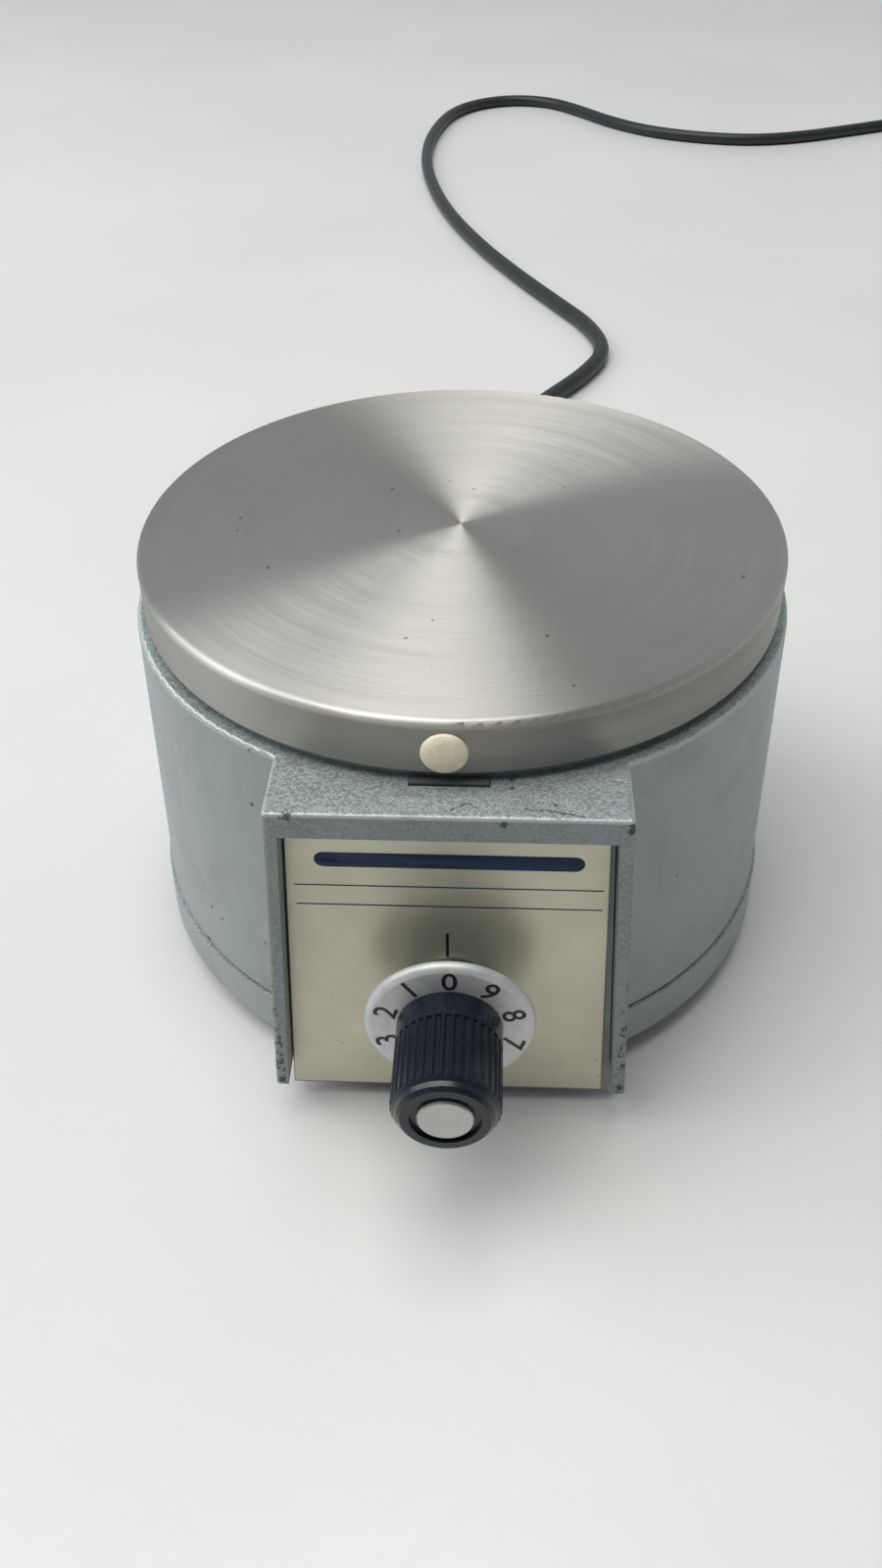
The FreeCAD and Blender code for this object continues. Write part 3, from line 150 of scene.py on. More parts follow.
class Shader:
    """A Principled material whose inputs are fed by small chains of nodes."""

    def __init__(self, name, **values):
        self.material = bpy.data.materials.new(name)
        self.material.use_nodes = True
        self.tree = self.material.node_tree
        self.surface = self.tree.nodes["Principled BSDF"]
        for key, value in values.items():
            self.surface.inputs[key.replace("_", " ")].default_value = value

    def node(self, kind, **links):
        """A node with inputs named, or numbered as i0, i1 and so on, and set to values or outputs."""
        made = self.tree.nodes.new(kind)
        for key, value in links.items():
            numbered = key[0] == "i" and key[1:].isdigit()
            self.feed(made.inputs[int(key[1:]) if numbered else key], value)
        return made

    def feed(self, socket, value):
        """Link an output, or set a plain value."""
        if isinstance(value, bpy.types.NodeSocket):
            self.tree.links.new(value, socket)
        elif isinstance(value, (tuple, list)) and len(value) == 3 and socket.type == "RGBA":
            socket.default_value = (*value, 1)
        else:
            socket.default_value = value

    def place(self):
        """The point's place in the model's own frame, in millimetres."""
        source = self.node("ShaderNodeTexCoord")
        scaled = self.node("ShaderNodeVectorMath", i0=source.outputs["Object"])
        scaled.operation = "SCALE"
        scaled.inputs["Scale"].default_value = 1 / MM
        return scaled.outputs[0]

    def split(self, vector):
        """The three coordinates of a vector."""
        parts = self.node("ShaderNodeSeparateXYZ", i0=vector)
        return parts.outputs[0], parts.outputs[1], parts.outputs[2]

    def join(self, x=0.0, y=0.0, z=0.0):
        """A vector from three coordinates."""
        return self.node("ShaderNodeCombineXYZ", i0=x, i1=y, i2=z).outputs[0]

    def maths(self, operation, first, second=0.0, third=0.0):
        """One arithmetic step."""
        made = self.tree.nodes.new("ShaderNodeMath")
        made.operation = operation
        for socket, value in zip(made.inputs, (first, second, third)):
            self.feed(socket, value)
        return made.outputs[0]

    def noise(self, vector, scale, detail=3.0, rough=0.55):
        """Cloudy noise, about 0.5 in the middle."""
        made = self.node("ShaderNodeTexNoise", Vector=vector, Scale=scale, Detail=detail, Roughness=rough)
        return made.outputs["Fac"]

    def cells(self, vector, scale):
        """Cells round scattered points, with the distance to the nearest and a colour for each."""
        return self.node("ShaderNodeTexVoronoi", Vector=vector, Scale=scale)

    def ramp(self, value, low, high, start=0.0, end=1.0):
        """Map a stretch of a value smoothly onto another stretch."""
        made = self.tree.nodes.new("ShaderNodeMapRange")
        made.interpolation_type = "SMOOTHSTEP"
        for key, number in (("From Min", low), ("From Max", high), ("To Min", start), ("To Max", end)):
            self.feed(made.inputs[key], number)
        self.feed(made.inputs["Value"], value)
        return made.outputs["Result"]

    def mix(self, share, first, second):
        """Blend two colours."""
        made = self.tree.nodes.new("ShaderNodeMix")
        made.data_type = "RGBA"
        colours = [socket for socket in made.inputs if socket.type == "RGBA"]
        self.feed(made.inputs["Factor"], share)
        self.feed(colours[0], first)
        self.feed(colours[1], second)
        return [socket for socket in made.outputs if socket.type == "RGBA"][0]

    def bump(self, height, depth, base=None):
        """Raise the surface by height times depth, in metres, over an earlier bump if there is one."""
        made = self.node("ShaderNodeBump", Height=height, Distance=depth)
        if base is not None:
            self.feed(made.inputs["Normal"], base)
        return made.outputs["Normal"]

    def set(self, **links):
        """Feed the surface's inputs, then hand the material back."""
        for key, value in links.items():
            self.feed(self.surface.inputs[key.replace("_", " ")], value)
        return self.material


def dress(node, material):
    """Give a CAD node its material."""
    slots = NODES[node].data.materials
    slots.clear()
    slots.append(material)


# ---------------------------------------------------------------- materials


# Places in the casting's paint, in millimetres: chips as a centre and a radius, cracks as two ends.
CHIPS = [
    ((-31.5, -87.2, 95.4), 1.5), ((11.0, -87, 94.2), 1.0), ((36.2, -87, 93.6), 1.5),
    ((-39.6, -90, 13.6), 1.2), ((39.6, -90, 14.0), 1.1), ((41.5, 72.0, 19.6), 1.2),
    ((-63.0, -52.0, 19.8), 0.9), ((74.0, 26.0, 95.6), 1.0), ((-76.0, 18.0, 95.6), 0.8),
    ((10.0, 81.0, 60.0), 1.0),
]
CRACKS = [((0.5, -84.2), (4.0, -82.0)), ((4.0, -82.0), (6.0, -83.2)), ((15.0, -83.4), (26.5, -85.4))]


def chip_mask(made, place):
    """Small ragged patches at the places where the paint has been knocked off."""
    ragged = made.noise(place, 0.9, 3.0, 0.75)
    total = 0.0
    for centre, radius in CHIPS:
        offset = made.node("ShaderNodeVectorMath", i0=place, i1=centre)
        offset.operation = "DISTANCE"
        distance = made.maths("MULTIPLY_ADD", ragged, radius * 2.6, offset.outputs["Value"])
        total = made.maths("MAXIMUM", total, made.ramp(distance, radius * 2.0, radius * 2.2, 1.0, 0.0))
    return total


def crack_mask(made, x, y, level, wobble):
    """Hairlines in the level paint over the front block, each near a line between two points."""
    total = 0.0
    for (start_x, start_y), (end_x, end_y) in CRACKS:
        length = math.hypot(end_x - start_x, end_y - start_y)
        along_x = (end_x - start_x) / length
        along_y = (end_y - start_y) / length
        to_x = made.maths("SUBTRACT", x, start_x)
        to_y = made.maths("SUBTRACT", y, start_y)
        along = made.maths("MULTIPLY_ADD", to_x, along_x, made.maths("MULTIPLY", to_y, along_y))
        across = made.maths("MULTIPLY_ADD", to_y, along_x, made.maths("MULTIPLY", to_x, -along_y))
        across = made.maths("ADD", across, made.maths("MULTIPLY_ADD", wobble, 2.4, -1.2))
        thin = made.ramp(made.maths("ABSOLUTE", across), 0.06, 0.16, 1.0, 0.0)
        begun = made.ramp(along, -0.2, 0.1)
        ended = made.ramp(along, length, length + 0.3, 1.0, 0.0)
        within = made.maths("MULTIPLY", begun, ended)
        total = made.maths("MAXIMUM", total, made.maths("MULTIPLY", thin, within))
    return made.maths("MULTIPLY", total, level)


def cast_paint(name, tone):
    """Blue-grey hammered enamel: sparkle on level faces, smoother walls, chips down to dark metal; painted
    shade on the walls and a painted highlight along the rounded edges.
    """
    made = Shader(name, Metallic=0.35, IOR=1.5)
    place = made.place()
    x, y, z = made.split(place)
    up = made.split(made.node("ShaderNodeNewGeometry").outputs["Normal"])[2]
    level = made.ramp(up, 0.6, 0.95)
    # Rounded edges between level faces and walls: they carry a painted highlight and calmer bumps.
    edge = made.maths("MULTIPLY", made.ramp(up, 0.15, 0.35), made.ramp(up, 0.85, 0.97, 1.0, 0.0))
    block = made.ramp(y, -85.0, -83.5, 1.0, 0.0)
    grainy = made.maths("MAXIMUM", level, made.maths("MULTIPLY", block, 0.5))
    grain = made.cells(place, 2.5)
    flakes = made.node("ShaderNodeSeparateColor", Color=grain.outputs["Color"]).outputs[0]
    fine = made.noise(place, 2.2, 4.0, 0.7)
    cloud = made.noise(place, 0.06, 4.0, 0.6)
    sparkle = made.maths("SUBTRACT", made.ramp(flakes, 0.3, 1.0, 0.62, 1.6), 1.0)
    share = made.maths("MULTIPLY_ADD", grainy, 0.9, 0.1)
    speck = made.maths("MULTIPLY_ADD", sparkle, share, 1.0)
    strength = made.maths("MULTIPLY", speck, made.ramp(cloud, 0.3, 0.7, 0.9, 1.08))
    # Painted shade: walls darker than level faces, and the front block's faces darker still.
    shaded_wall = made.mix(block, tuple(0.80 * part for part in tone), tuple(0.66 * part for part in tone))
    plain = made.mix(strength, (0, 0, 0), made.mix(level, shaded_wall, tone))
    # Painted highlight: a lighter line along the rounded edges between level faces and walls.
    plain = made.mix(made.maths("MULTIPLY", edge, 0.55), plain, (0.62, 0.67, 0.66))
    streak = made.noise(made.join(x, y, made.maths("MULTIPLY", z, 0.12)), 0.35, 3.0, 0.6)
    plain = made.mix(made.ramp(streak, 0.56, 0.8, 0.0, 0.22), plain, (0.20, 0.24, 0.25))
    pits = made.cells(place, 0.16)
    ragged = made.maths("MULTIPLY_ADD", fine, 0.22, pits.outputs["Distance"])
    gate = made.noise(place, 0.035, 2.0, 0.5)
    pit = made.maths("MULTIPLY", made.ramp(ragged, 0.16, 0.2, 1.0, 0.0), made.ramp(gate, 0.56, 0.6))
    worn = made.maths("MAXIMUM", pit, chip_mask(made, place))
    nick = made.noise(place, 0.7, 3.0, 0.7)
    corner = made.maths("MULTIPLY", made.ramp(made.maths("ABSOLUTE", x), 38.2, 38.6),
                        made.ramp(y, -86.6, -86.0, 1.0, 0.0))
    worn = made.maths("MAXIMUM", worn, made.maths("MULTIPLY", corner, made.ramp(nick, 0.55, 0.62)))
    worn = made.maths("MAXIMUM", worn, crack_mask(made, x, y, level, made.noise(place, 0.35, 3.0, 0.6)))
    colour = made.mix(made.maths("MULTIPLY", worn, 0.85), plain, (0.05, 0.054, 0.058))
    rough = made.maths("MULTIPLY_ADD", fine, 0.22, 0.30)
    rough = made.maths("MULTIPLY_ADD", worn, 0.25, rough)
    calm = made.maths("MULTIPLY", share, made.maths("SUBTRACT", 1.0, made.maths("MULTIPLY", edge, 0.8)))
    bumps = made.bump(made.maths("MULTIPLY", grain.outputs["Distance"], calm), 0.0001)
    bumps = made.bump(made.maths("MULTIPLY_ADD", worn, -0.3, cloud), 0.0009, bumps)
    return made.set(Base_Color=colour, Roughness=rough, Normal=bumps)


def spun_steel():
    """Stainless steel with circular brushing, so that highlights fan out from the axis, and painted shade
    on the skirt.
    """
    made = Shader("spun_steel", Metallic=1.0, Anisotropic=0.93, Anisotropic_Rotation=0.25)
    place = made.place()
    x, y, z = made.split(place)
    squares = made.maths("ADD", made.maths("MULTIPLY", x, x), made.maths("MULTIPLY", y, y))
    across = made.maths("ADD", made.maths("SQRT", squares), z)
    rings = made.noise(made.join(across, 0.0, 0.0), 2.6, 3.0, 0.7)
    broad = made.noise(made.join(across, 5.0, 0.0), 0.22, 2.0, 0.6)
    angle = made.maths("ARCTAN2", y, x)
    sweep = made.join(made.maths("MULTIPLY", across, 2.4), made.maths("MULTIPLY", angle, 2.0))
    arcs = made.noise(sweep, 1.0, 3.0, 0.7)
    cloud = made.noise(place, 0.03, 4.0, 0.6)
    shade = made.maths("MULTIPLY", made.ramp(rings, 0.2, 0.8, 0.92, 1.06),
                       made.ramp(cloud, 0.2, 0.8, 0.94, 1.05))
    colour = made.mix(shade, (0, 0, 0), (0.555, 0.545, 0.505))
    specks = made.cells(place, 0.09)
    speck = made.ramp(specks.outputs["Distance"], 0.03, 0.05, 1.0, 0.0)
    colour = made.mix(made.maths("MULTIPLY", speck, 0.75), colour, (0.16, 0.13, 0.10))
    along = made.maths("ADD", x, made.maths("MULTIPLY", y, 0.35))
    aside = made.maths("SUBTRACT", y, made.maths("MULTIPLY", x, 0.35))
    scratches = made.noise(made.join(along, made.maths("MULTIPLY", aside, 14.0), 0.0), 0.06, 5.0, 0.75)
    scratch = made.ramp(scratches, 0.70, 0.74)
    colour = made.mix(made.maths("MULTIPLY", scratch, 0.35), colour, (0.85, 0.84, 0.80))
    # Painted shade: the plate's skirt darkened below its top edge, standing in for the dim room it
    # reflects.
    side = made.ramp(z, PLATE_TOP - 2.2, PLATE_TOP - 0.9, 1.0, 0.0)
    colour = made.mix(made.maths("MULTIPLY", side, 0.52), colour, (0.16, 0.155, 0.15))
    rough = made.maths("ADD", made.ramp(arcs, 0.2, 0.8, 0.36, 0.46),
                       made.ramp(broad, 0.3, 0.7, -0.02, 0.03))
    bumps = made.bump(rings, 0.00004)
    bumps = made.bump(arcs, 0.00006, bumps)
    tangent = made.tree.nodes.new("ShaderNodeTangent")
    tangent.direction_type = "RADIAL"
    tangent.axis = "Z"
    return made.set(Base_Color=colour, Roughness=rough, Normal=bumps, Tangent=tangent.outputs[0])


def turned_metal(name, tone, rough_low, rough_high, scale=0.8):
    """Plain metal with fine grain and a little staining."""
    made = Shader(name, Metallic=1.0)
    place = made.place()
    grain = made.noise(place, scale * 6, 3.0, 0.7)
    cloud = made.noise(place, scale * 0.25, 4.0, 0.6)
    colour = made.mix(made.ramp(cloud, 0.3, 0.75, 0.0, 0.35), tone, tuple(0.6 * part for part in tone))
    rough = made.ramp(grain, 0.25, 0.75, rough_low, rough_high)
    return made.set(Base_Color=colour, Roughness=rough, Normal=made.bump(grain, 0.00002))


def plastic(name, tone, rough_low, rough_high, grain_scale=2.0, depth=0.00003):
    """Moulded plastic or rubber with a fine skin and faint dust."""
    made = Shader(name, IOR=1.48)
    place = made.place()
    grain = made.noise(place, grain_scale, 4.0, 0.65)
    cloud = made.noise(place, 0.12, 4.0, 0.6)
    lighter = tuple(min(1, part * 1.5 + 0.015) for part in tone)
    colour = made.mix(made.ramp(cloud, 0.45, 0.8, 0.0, 0.5), tone, lighter)
    rough = made.ramp(grain, 0.25, 0.75, rough_low, rough_high)
    return made.set(Base_Color=colour, Roughness=rough, Normal=made.bump(grain, depth))


def ivory_nylon():
    """Aged nylon, yellower and dirtier towards one side."""
    made = Shader("ivory_nylon", IOR=1.53, Subsurface_Weight=0.12, Subsurface_Scale=0.002)
    place = made.place()
    cloud = made.noise(place, 0.45, 4.0, 0.6)
    fine = made.noise(place, 2.5, 4.0, 0.7)
    colour = made.mix(made.ramp(cloud, 0.35, 0.7), (0.97, 0.89, 0.70), (0.86, 0.76, 0.55))
    colour = made.mix(made.ramp(fine, 0.66, 0.74, 0.0, 0.6), colour, (0.30, 0.25, 0.16))
    return made.set(Base_Color=colour, Roughness=made.ramp(fine, 0.3, 0.7, 0.34, 0.5),
                    Normal=made.bump(cloud, 0.0002))


def champagne_plate():
    """Anodised nameplate: fine level brushing, faint yellowing and small marks."""
    made = Shader("champagne_plate", Metallic=0.45)
    place = made.place()
    x, y, z = made.split(place)
    grain = made.join(made.maths("MULTIPLY", x, 0.05), y, made.maths("MULTIPLY", z, 4.0))
    brushed = made.noise(grain, 1.0, 3.0, 0.7)
    cloud = made.noise(place, 0.05, 4.0, 0.6)
    colour = made.mix(made.ramp(cloud, 0.3, 0.7), (0.70, 0.68, 0.54), (0.62, 0.60, 0.465))
    colour = made.mix(made.ramp(brushed, 0.3, 0.8, 0.0, 0.18), colour, (0.75, 0.73, 0.62))
    spots = made.cells(place, 0.2)
    colour = made.mix(made.ramp(spots.outputs["Distance"], 0.04, 0.08, 0.5, 0.0), colour, (0.2, 0.17, 0.12))
    return made.set(Base_Color=colour, Roughness=made.ramp(brushed, 0.2, 0.8, 0.30, 0.42),
                    Normal=made.bump(brushed, 0.00001))


def satin_dial():
    """Satin plated dial: soft sheen on the face, cloudy tone and small dark specks."""
    made = Shader("satin_dial", Metallic=0.45)
    place = made.place()
    fine = made.noise(place, 3.5, 4.0, 0.75)
    cloud = made.noise(place, 0.25, 3.0, 0.6)
    colour = made.mix(made.ramp(cloud, 0.3, 0.7), (0.68, 0.70, 0.69), (0.58, 0.60, 0.60))
    colour = made.mix(made.ramp(fine, 0.66, 0.76, 0.0, 0.5), colour, (0.25, 0.26, 0.26))
    return made.set(Base_Color=colour, Roughness=made.ramp(fine, 0.2, 0.8, 0.38, 0.55),
                    Normal=made.bump(fine, 0.00004))


def spun_inlay():
    """Small spun disc in the knob's nose."""
    made = Shader("knob_inlay", Metallic=0.9, Anisotropic=0.6)
    place = made.place()
    fine = made.noise(place, 2.5, 3.0, 0.7)
    shifted = made.node("ShaderNodeVectorMath", i0=place, i1=(0.4, 1.0, 3.0))
    marks = made.noise(shifted.outputs[0], 0.6, 4.0, 0.7)
    colour = made.mix(made.ramp(fine, 0.3, 0.7), (0.50, 0.52, 0.49), (0.42, 0.44, 0.42))
    colour = made.mix(made.ramp(marks, 0.64, 0.7, 0.0, 0.5), colour, (0.3, 0.31, 0.3))
    return made.set(Base_Color=colour, Roughness=made.ramp(fine, 0.2, 0.8, 0.28, 0.42),
                    Normal=made.bump(fine, 0.00003))


def laminations():
    """Stacked steel sheets seen edge on."""
    made = Shader("laminations", Metallic=0.8)
    place = made.place()
    sheets = made.maths("PINGPONG", made.split(place)[2], 0.35)
    grime = made.noise(place, 0.3, 4.0, 0.6)
    colour = made.mix(made.ramp(sheets, 0.0, 0.12), (0.05, 0.05, 0.05), (0.26, 0.26, 0.28))
    colour = made.mix(made.ramp(grime, 0.5, 0.8, 0.0, 0.6), colour, (0.12, 0.09, 0.07))
    return made.set(Base_Color=colour, Roughness=made.ramp(grime, 0.2, 0.8, 0.4, 0.65),
                    Normal=made.bump(sheets, 0.0004))


def winding():
    """Varnished copper turns under clear tape."""
    made = Shader("copper_winding", Metallic=0.5, Coat_Weight=0.4, Coat_Roughness=0.2)
    place = made.place()
    turns = made.maths("PINGPONG", made.split(place)[0], 0.3)
    cloud = made.noise(place, 0.3, 3.0, 0.6)
    colour = made.mix(made.ramp(turns, 0.0, 0.3), (0.16, 0.05, 0.02), (0.52, 0.22, 0.08))
    colour = made.mix(made.ramp(cloud, 0.4, 0.8, 0.0, 0.4), colour, (0.3, 0.2, 0.05))
    return made.set(Base_Color=colour, Roughness=0.35, Normal=made.bump(turns, 0.0005))


def floor_paint():
    """Pale, slightly glossy bench top."""
    made = Shader("bench_top", IOR=1.45)
    place = made.place()
    cloud = made.noise(place, 0.004, 3.0, 0.5)
    fine = made.noise(place, 0.15, 4.0, 0.6)
    colour = made.mix(made.ramp(cloud, 0.3, 0.7), (0.70, 0.695, 0.685), (0.745, 0.74, 0.73))
    return made.set(Base_Color=colour, Roughness=made.ramp(fine, 0.2, 0.8, 0.28, 0.36),
                    Normal=made.bump(fine, 0.0001))


def flat_ink(name, tone):
    """Printed or filled marking, a little worn."""
    made = Shader(name, IOR=1.45)
    wear = made.noise(made.place(), 2.0, 4.0, 0.7)
    lighter = tuple(min(1, part + 0.08) for part in tone)
    colour = made.mix(made.ramp(wear, 0.55, 0.8, 0.0, 0.6), tone, lighter)
    return made.set(Base_Color=colour, Roughness=made.ramp(wear, 0.3, 0.7, 0.4, 0.6))


def dress_nodes():
    """Every CAD node that stays visible gets its own finish."""
    paint = cast_paint("cast_paint", (0.40, 0.455, 0.455))
    base = cast_paint("base_paint", (0.42, 0.46, 0.46))
    zinc = turned_metal("zinc_steel", (0.55, 0.54, 0.50), 0.28, 0.42)
    steel = turned_metal("ground_steel", (0.50, 0.50, 0.51), 0.2, 0.32)
    aluminium = turned_metal("machined_aluminium", (0.66, 0.67, 0.68), 0.28, 0.42)
    brass = turned_metal("turned_brass", (0.66, 0.47, 0.19), 0.25, 0.38)
    bronze = turned_metal("oiled_bronze", (0.45, 0.29, 0.13), 0.3, 0.5)
    rubber = plastic("black_rubber", (0.022, 0.022, 0.023), 0.55, 0.75)
    phenolic = plastic("brown_phenolic", (0.075, 0.04, 0.022), 0.3, 0.45)
    nylon = plastic("natural_nylon", (0.62, 0.6, 0.5), 0.4, 0.55)
    ferrite = plastic("ferrite", (0.045, 0.045, 0.05), 0.45, 0.65, 4.0, 0.00006)
    sheath = plastic("wire_sheath", (0.05, 0.05, 0.055), 0.3, 0.45)
    finishes = {
        "housing": paint,
        "base_pan": base,
        "top_plate": spun_steel(),
        "plate_button": ivory_nylon(),
        "plate_pad": plastic("pad_rubber", (0.085, 0.09, 0.093), 0.4, 0.6, 1.2, 0.0001),
        "front_panel": plastic("panel_grey", (0.27, 0.28, 0.27), 0.45, 0.6, 2.5, 0.00008),
        "nameplate": champagne_plate(),
        "dial_skirt": satin_dial(),
        "knob_body": plastic("knob_black", (0.007, 0.011, 0.018), 0.22, 0.34, 3.0, 0.00001),
        "knob_cap": spun_inlay(),
        "motor_stator": laminations(),
        "rotor": laminations(),
        "motor_coil": winding(),
        "coil_bobbin": nylon,
        "drive_magnets": ferrite,
        "rheostat_case": phenolic,
        "rheostat_winding": turned_metal("resistance_wire", (0.35, 0.31, 0.26), 0.3, 0.5, 2.0),
        "terminal_block": phenolic,
        "rubber_feet": rubber,
        "earth_screw": brass,
        "rheostat_lugs": brass,
        "wiper_arm": brass,
        "plug_blades": brass,
        "plug_earth_pin": brass,
        "lower_bearing": bronze,
        "upper_bearing": bronze,
        "magnet_hub": aluminium,
        "lower_bracket": aluminium,
        "upper_bracket": aluminium,
        "motor_shaft": steel,
        "spindle": steel,
        "magnet_carrier": steel,
        "supply_wires": sheath,
        "coil_leads": sheath,
        "control_leads": sheath,
        "cord_in_gland": sheath,
        "strain_relief": rubber,
        "plug_body": plastic("plug_vinyl", (0.024, 0.025, 0.027), 0.38, 0.52, 1.5, 0.00006),
        "coil_tie": plastic("tie_black", (0.03, 0.03, 0.03), 0.35, 0.5),
    }
    for node in NODES:
        dress(node, finishes.get(node, zinc))


# ---------------------------------------------------------------- printed marks


def new_object(name, mesh, material):
    """Link a mesh or curve as a new piece."""
    piece = bpy.data.objects.new(name, mesh)
    bpy.context.scene.collection.objects.link(piece)
    mesh.materials.append(material)
    return piece


def mesh_from_curve(piece):
    """Swap a curve or text object for the mesh that it draws."""
    graph = bpy.context.evaluated_depsgraph_get()
    mesh = bpy.data.meshes.new_from_object(piece.evaluated_get(graph))
    name = piece.name
    material = piece.data.materials[0]
    matrix = piece.matrix_world.copy()
    bpy.data.objects.remove(piece)
    made = bpy.data.objects.new(name, mesh)
    bpy.context.scene.collection.objects.link(made)
    if not mesh.materials:
        mesh.materials.append(material)
    mesh.transform(matrix)
    return made


FIGURE_HEIGHT = 5.1 * MM
FONT_SIZE = FIGURE_HEIGHT * 1.4
FIGURE_RING = 14.6 * MM
FIGURE_STEP = math.radians(36)
FIGURE_BOLD = 0.1 * MM
INK_LIFT = 0.03 * MM
# Marks on the nameplate, in millimetres across from the middle and up from the bench.
BAND_SIDE = 28
BAND_HEIGHTS = (76.5, 80.5)
BAND_CORNER = 2
RULE_ENDS = (-32.6, 32.4)
RULE_HEIGHTS = (65.6, 71.2)
RULE_HALF = 0.17
INDEX_HEIGHTS = (45, 57.6)
INDEX_HALF = 0.3
INDEX_MIDDLE = -0.95  # across from the knob's axis instead


def make_figures(ink):
    """Ten figures round the dial, 0 at the top and rising anticlockwise, joined into one piece."""
    figures = []
    for number in range(10):
        data = bpy.data.curves.new("figure_%d" % number, "FONT")
        data.body = str(number)
        data.align_x = "CENTER"
        data.size = FONT_SIZE
        data.bevel_depth = FIGURE_BOLD
        data.resolution_u = 8
        figure = new_object("figure_%d" % number, data, ink)
        turn = Matrix.Rotation(number * FIGURE_STEP, 4, "Z")
        shift = Matrix.Translation((0, FIGURE_RING - FIGURE_HEIGHT / 2, 0))
        flat = Matrix.Diagonal((1, 1, INK_LIFT / FIGURE_BOLD, 1))
        figure.matrix_world = panel_matrix(DIAL_FACE) @ turn @ shift @ flat
        bpy.context.view_layer.update()
        figures.append(mesh_from_curve(figure))
    target = figures[0]
    bpy.ops.object.select_all(action="DESELECT")
    for figure in figures:
        figure.select_set(True)
    bpy.context.view_layer.objects.active = target
    bpy.ops.object.join()
    target.name = "dial_figures"
    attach(target, "speed_knob")


def plate_bar(name, low, high, material, corner=0.0):
    """A thin printed bar on the nameplate between two corners, in the panel's own axes."""
    mesh = bpy.data.meshes.new(name)
    made = bmesh.new()
    points = []
    steps = 6
    centres = ((high[0] - corner, high[1] - corner, 0), (low[0] + corner, high[1] - corner, 90),
               (low[0] + corner, low[1] + corner, 180), (high[0] - corner, low[1] + corner, 270))
    for x, y, start in centres:
        for step in range(steps + 1):
            angle = math.radians(start + 90 * step / steps)
            points.append((x + corner * math.cos(angle), y + corner * math.sin(angle)))
            if corner == 0:
                break
    face = made.faces.new([made.verts.new((x, y, 0)) for x, y in points])
    bmesh.ops.solidify(made, geom=[face], thickness=INK_LIFT)
    made.transform(panel_matrix(LABEL_FACE + INK_LIFT))
    bmesh.ops.recalc_face_normals(made, faces=made.faces)
    made.to_mesh(mesh)
    made.free()
    piece = new_object(name, mesh, material)
    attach(piece, "base")


def panel_height(z):
    """Distance up the panel from the knob's axis to a height above the bench."""
    return (z - KNOB_CENTRE.z) / UPWARD.z


def make_print(black, blue):
    """Plain marks on the nameplate: a blue band, two rules and the index over the dial."""
    centre = KNOB_CENTRE.x
    bottom, top = [panel_height(z * MM) for z in BAND_HEIGHTS]
    plate_bar("name_band", (-BAND_SIDE * MM - centre, bottom), (BAND_SIDE * MM - centre, top), blue,
              BAND_CORNER * MM)
    left, right = [x * MM - centre for x in RULE_ENDS]
    for number, z in enumerate(RULE_HEIGHTS, start=1):
        plate_bar("rule_%d" % number, (left, panel_height((z - RULE_HALF) * MM)),
                  (right, panel_height((z + RULE_HALF) * MM)), blue)
    bottom, top = [panel_height(z * MM) for z in INDEX_HEIGHTS]
    plate_bar("index_mark", (INDEX_MIDDLE * MM - INDEX_HALF * MM, bottom),
              (INDEX_MIDDLE * MM + INDEX_HALF * MM, top), black)


# ---------------------------------------------------------------- mains lead

CORD_WIDTH = 0.0078
CORD_EXIT = (0, 0.1106, 0.032)
LYING = CORD_WIDTH / 2
# The coil starts at this angle on its circle and goes clockwise, at first flat on the bench.
COIL_START = math.radians(93)
COIL_TURNS = 2.24
FLAT_TURNS = 1.96
COIL_STEPS = 40
# The lead's route: level out of the strain relief, down to the bench, then flat along it to its coil.
CORD_DROP = [
    CORD_EXIT, (0, 0.141, 0.032), (-0.003, 0.176, 0.021), (-0.003, 0.210, 0.010),
    (0.003, 0.243, 0.0049),
]
CORD_LYING = [
    (0.014, 0.276), (0.030, 0.306), (0.049, 0.334), (0.062, 0.364), (0.056, 0.397), (0.038, 0.432),
    (0.017, 0.474), (-0.004, 0.521), (-0.024, 0.577), (-0.038, 0.634), (-0.047, 0.695), (-0.048, 0.752),
    (-0.042, 0.800), (-0.033, 0.836), (-0.014, 0.864), (0.015, 0.877), (0.045, 0.869), (0.067, 0.843),
    (0.090, 0.808), (0.120, 0.779), (0.157, 0.763), (0.193, 0.757), (0.229, 0.766), (0.265, 0.783),
    (0.297, 0.799), (0.329, 0.8145),
]
TAIL_ROUTE = [
    (0.4065, 0.765, 0.0126), (0.409, 0.742, 0.0047), (0.4085, 0.718, 0.0047), (0.4065, 0.697, 0.0105),
]


def ease(share):
    """A smooth step from 0 to 1."""
    share = min(1.0, max(0.0, share))
    return share * share * (3 - 2 * share)


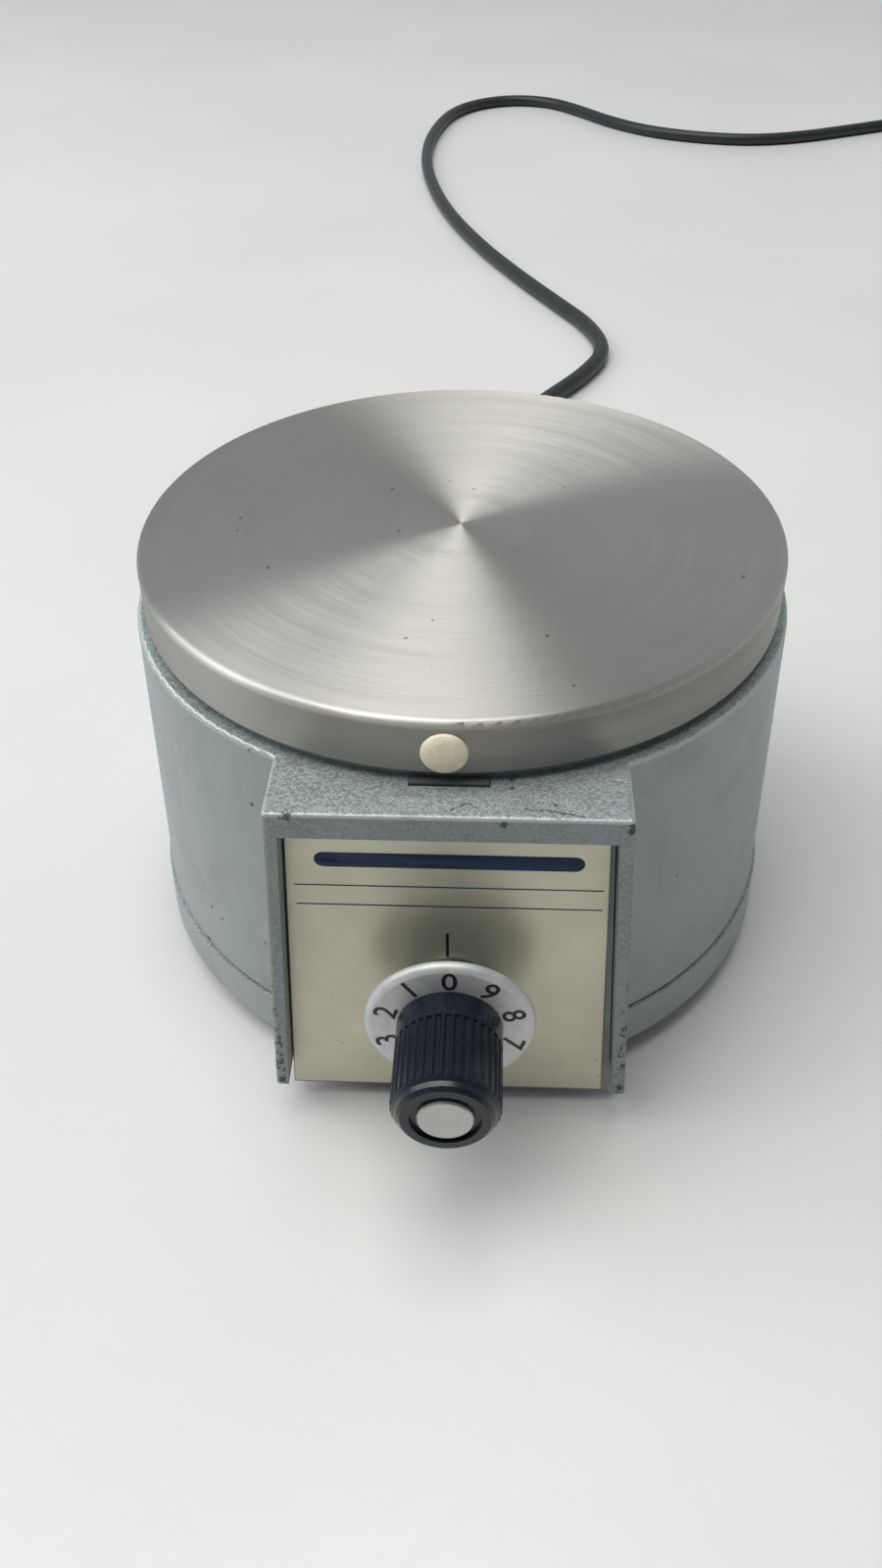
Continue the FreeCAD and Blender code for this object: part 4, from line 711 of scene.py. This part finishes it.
def coil_points():
    """Two turns of the put-away length side by side on the bench, then a quarter turn over them."""
    low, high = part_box("cord_coil")
    centre = (low + high) / 2
    outer = (high.x - low.x) / 2 - CORD_WIDTH / 2
    bed = low.z + CORD_WIDTH / 2
    points = []
    for step in range(COIL_STEPS + 1):
        done = step / COIL_STEPS * COIL_TURNS
        angle = COIL_START - 2 * math.pi * done
        over = (done - FLAT_TURNS) / (COIL_TURNS - FLAT_TURNS)
        radius = outer - CORD_WIDTH * 1.03 * min(done, FLAT_TURNS) + CORD_WIDTH * 1.5 * ease(over)
        points.append((centre.x + radius * math.cos(angle), centre.y + radius * math.sin(angle),
                       bed + CORD_WIDTH * ease(over * 1.6)))
    return points


def make_cord(jacket):
    """The whole lead as one spline: along the bench, round its coil and into the plug."""
    data = bpy.data.curves.new("mains_lead", "CURVE")
    data.dimensions = "3D"
    data.bevel_depth = CORD_WIDTH / 2
    data.bevel_resolution = 6
    data.resolution_u = 8
    data.use_fill_caps = True
    spline = data.splines.new("NURBS")
    lying = [(x, y, LYING) for x, y in CORD_LYING]
    points = CORD_DROP + lying + coil_points() + TAIL_ROUTE
    spline.points.add(len(points) - 1)
    for point, place in zip(spline.points, points):
        point.co = (*place, 1)
    spline.order_u = 3
    spline.use_endpoint_u = True
    lead = new_object("mains_lead", data, jacket)
    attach(lead, "base")
    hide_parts("cord", "cord_coil", "cord_tail")


BENCH_REACH = 4  # metres from the middle of the bench top to each side


def make_floor():
    """A wide pale bench top under the unit."""
    mesh = bpy.data.meshes.new("bench")
    made = bmesh.new()
    bmesh.ops.create_grid(made, x_segments=1, y_segments=1, size=BENCH_REACH)
    made.to_mesh(mesh)
    made.free()
    new_object("bench", mesh, floor_paint())


make_camera()
make_light()
make_floor()
dress_nodes()
make_cord(plastic("cord_jacket", (0.016, 0.02, 0.021), 0.35, 0.5, 1.5, 0.00004))
make_figures(flat_ink("dial_ink", (0.012, 0.012, 0.012)))
make_print(flat_ink("black_ink", (0.02, 0.02, 0.022)), flat_ink("blue_ink", (0.03, 0.07, 0.17)))
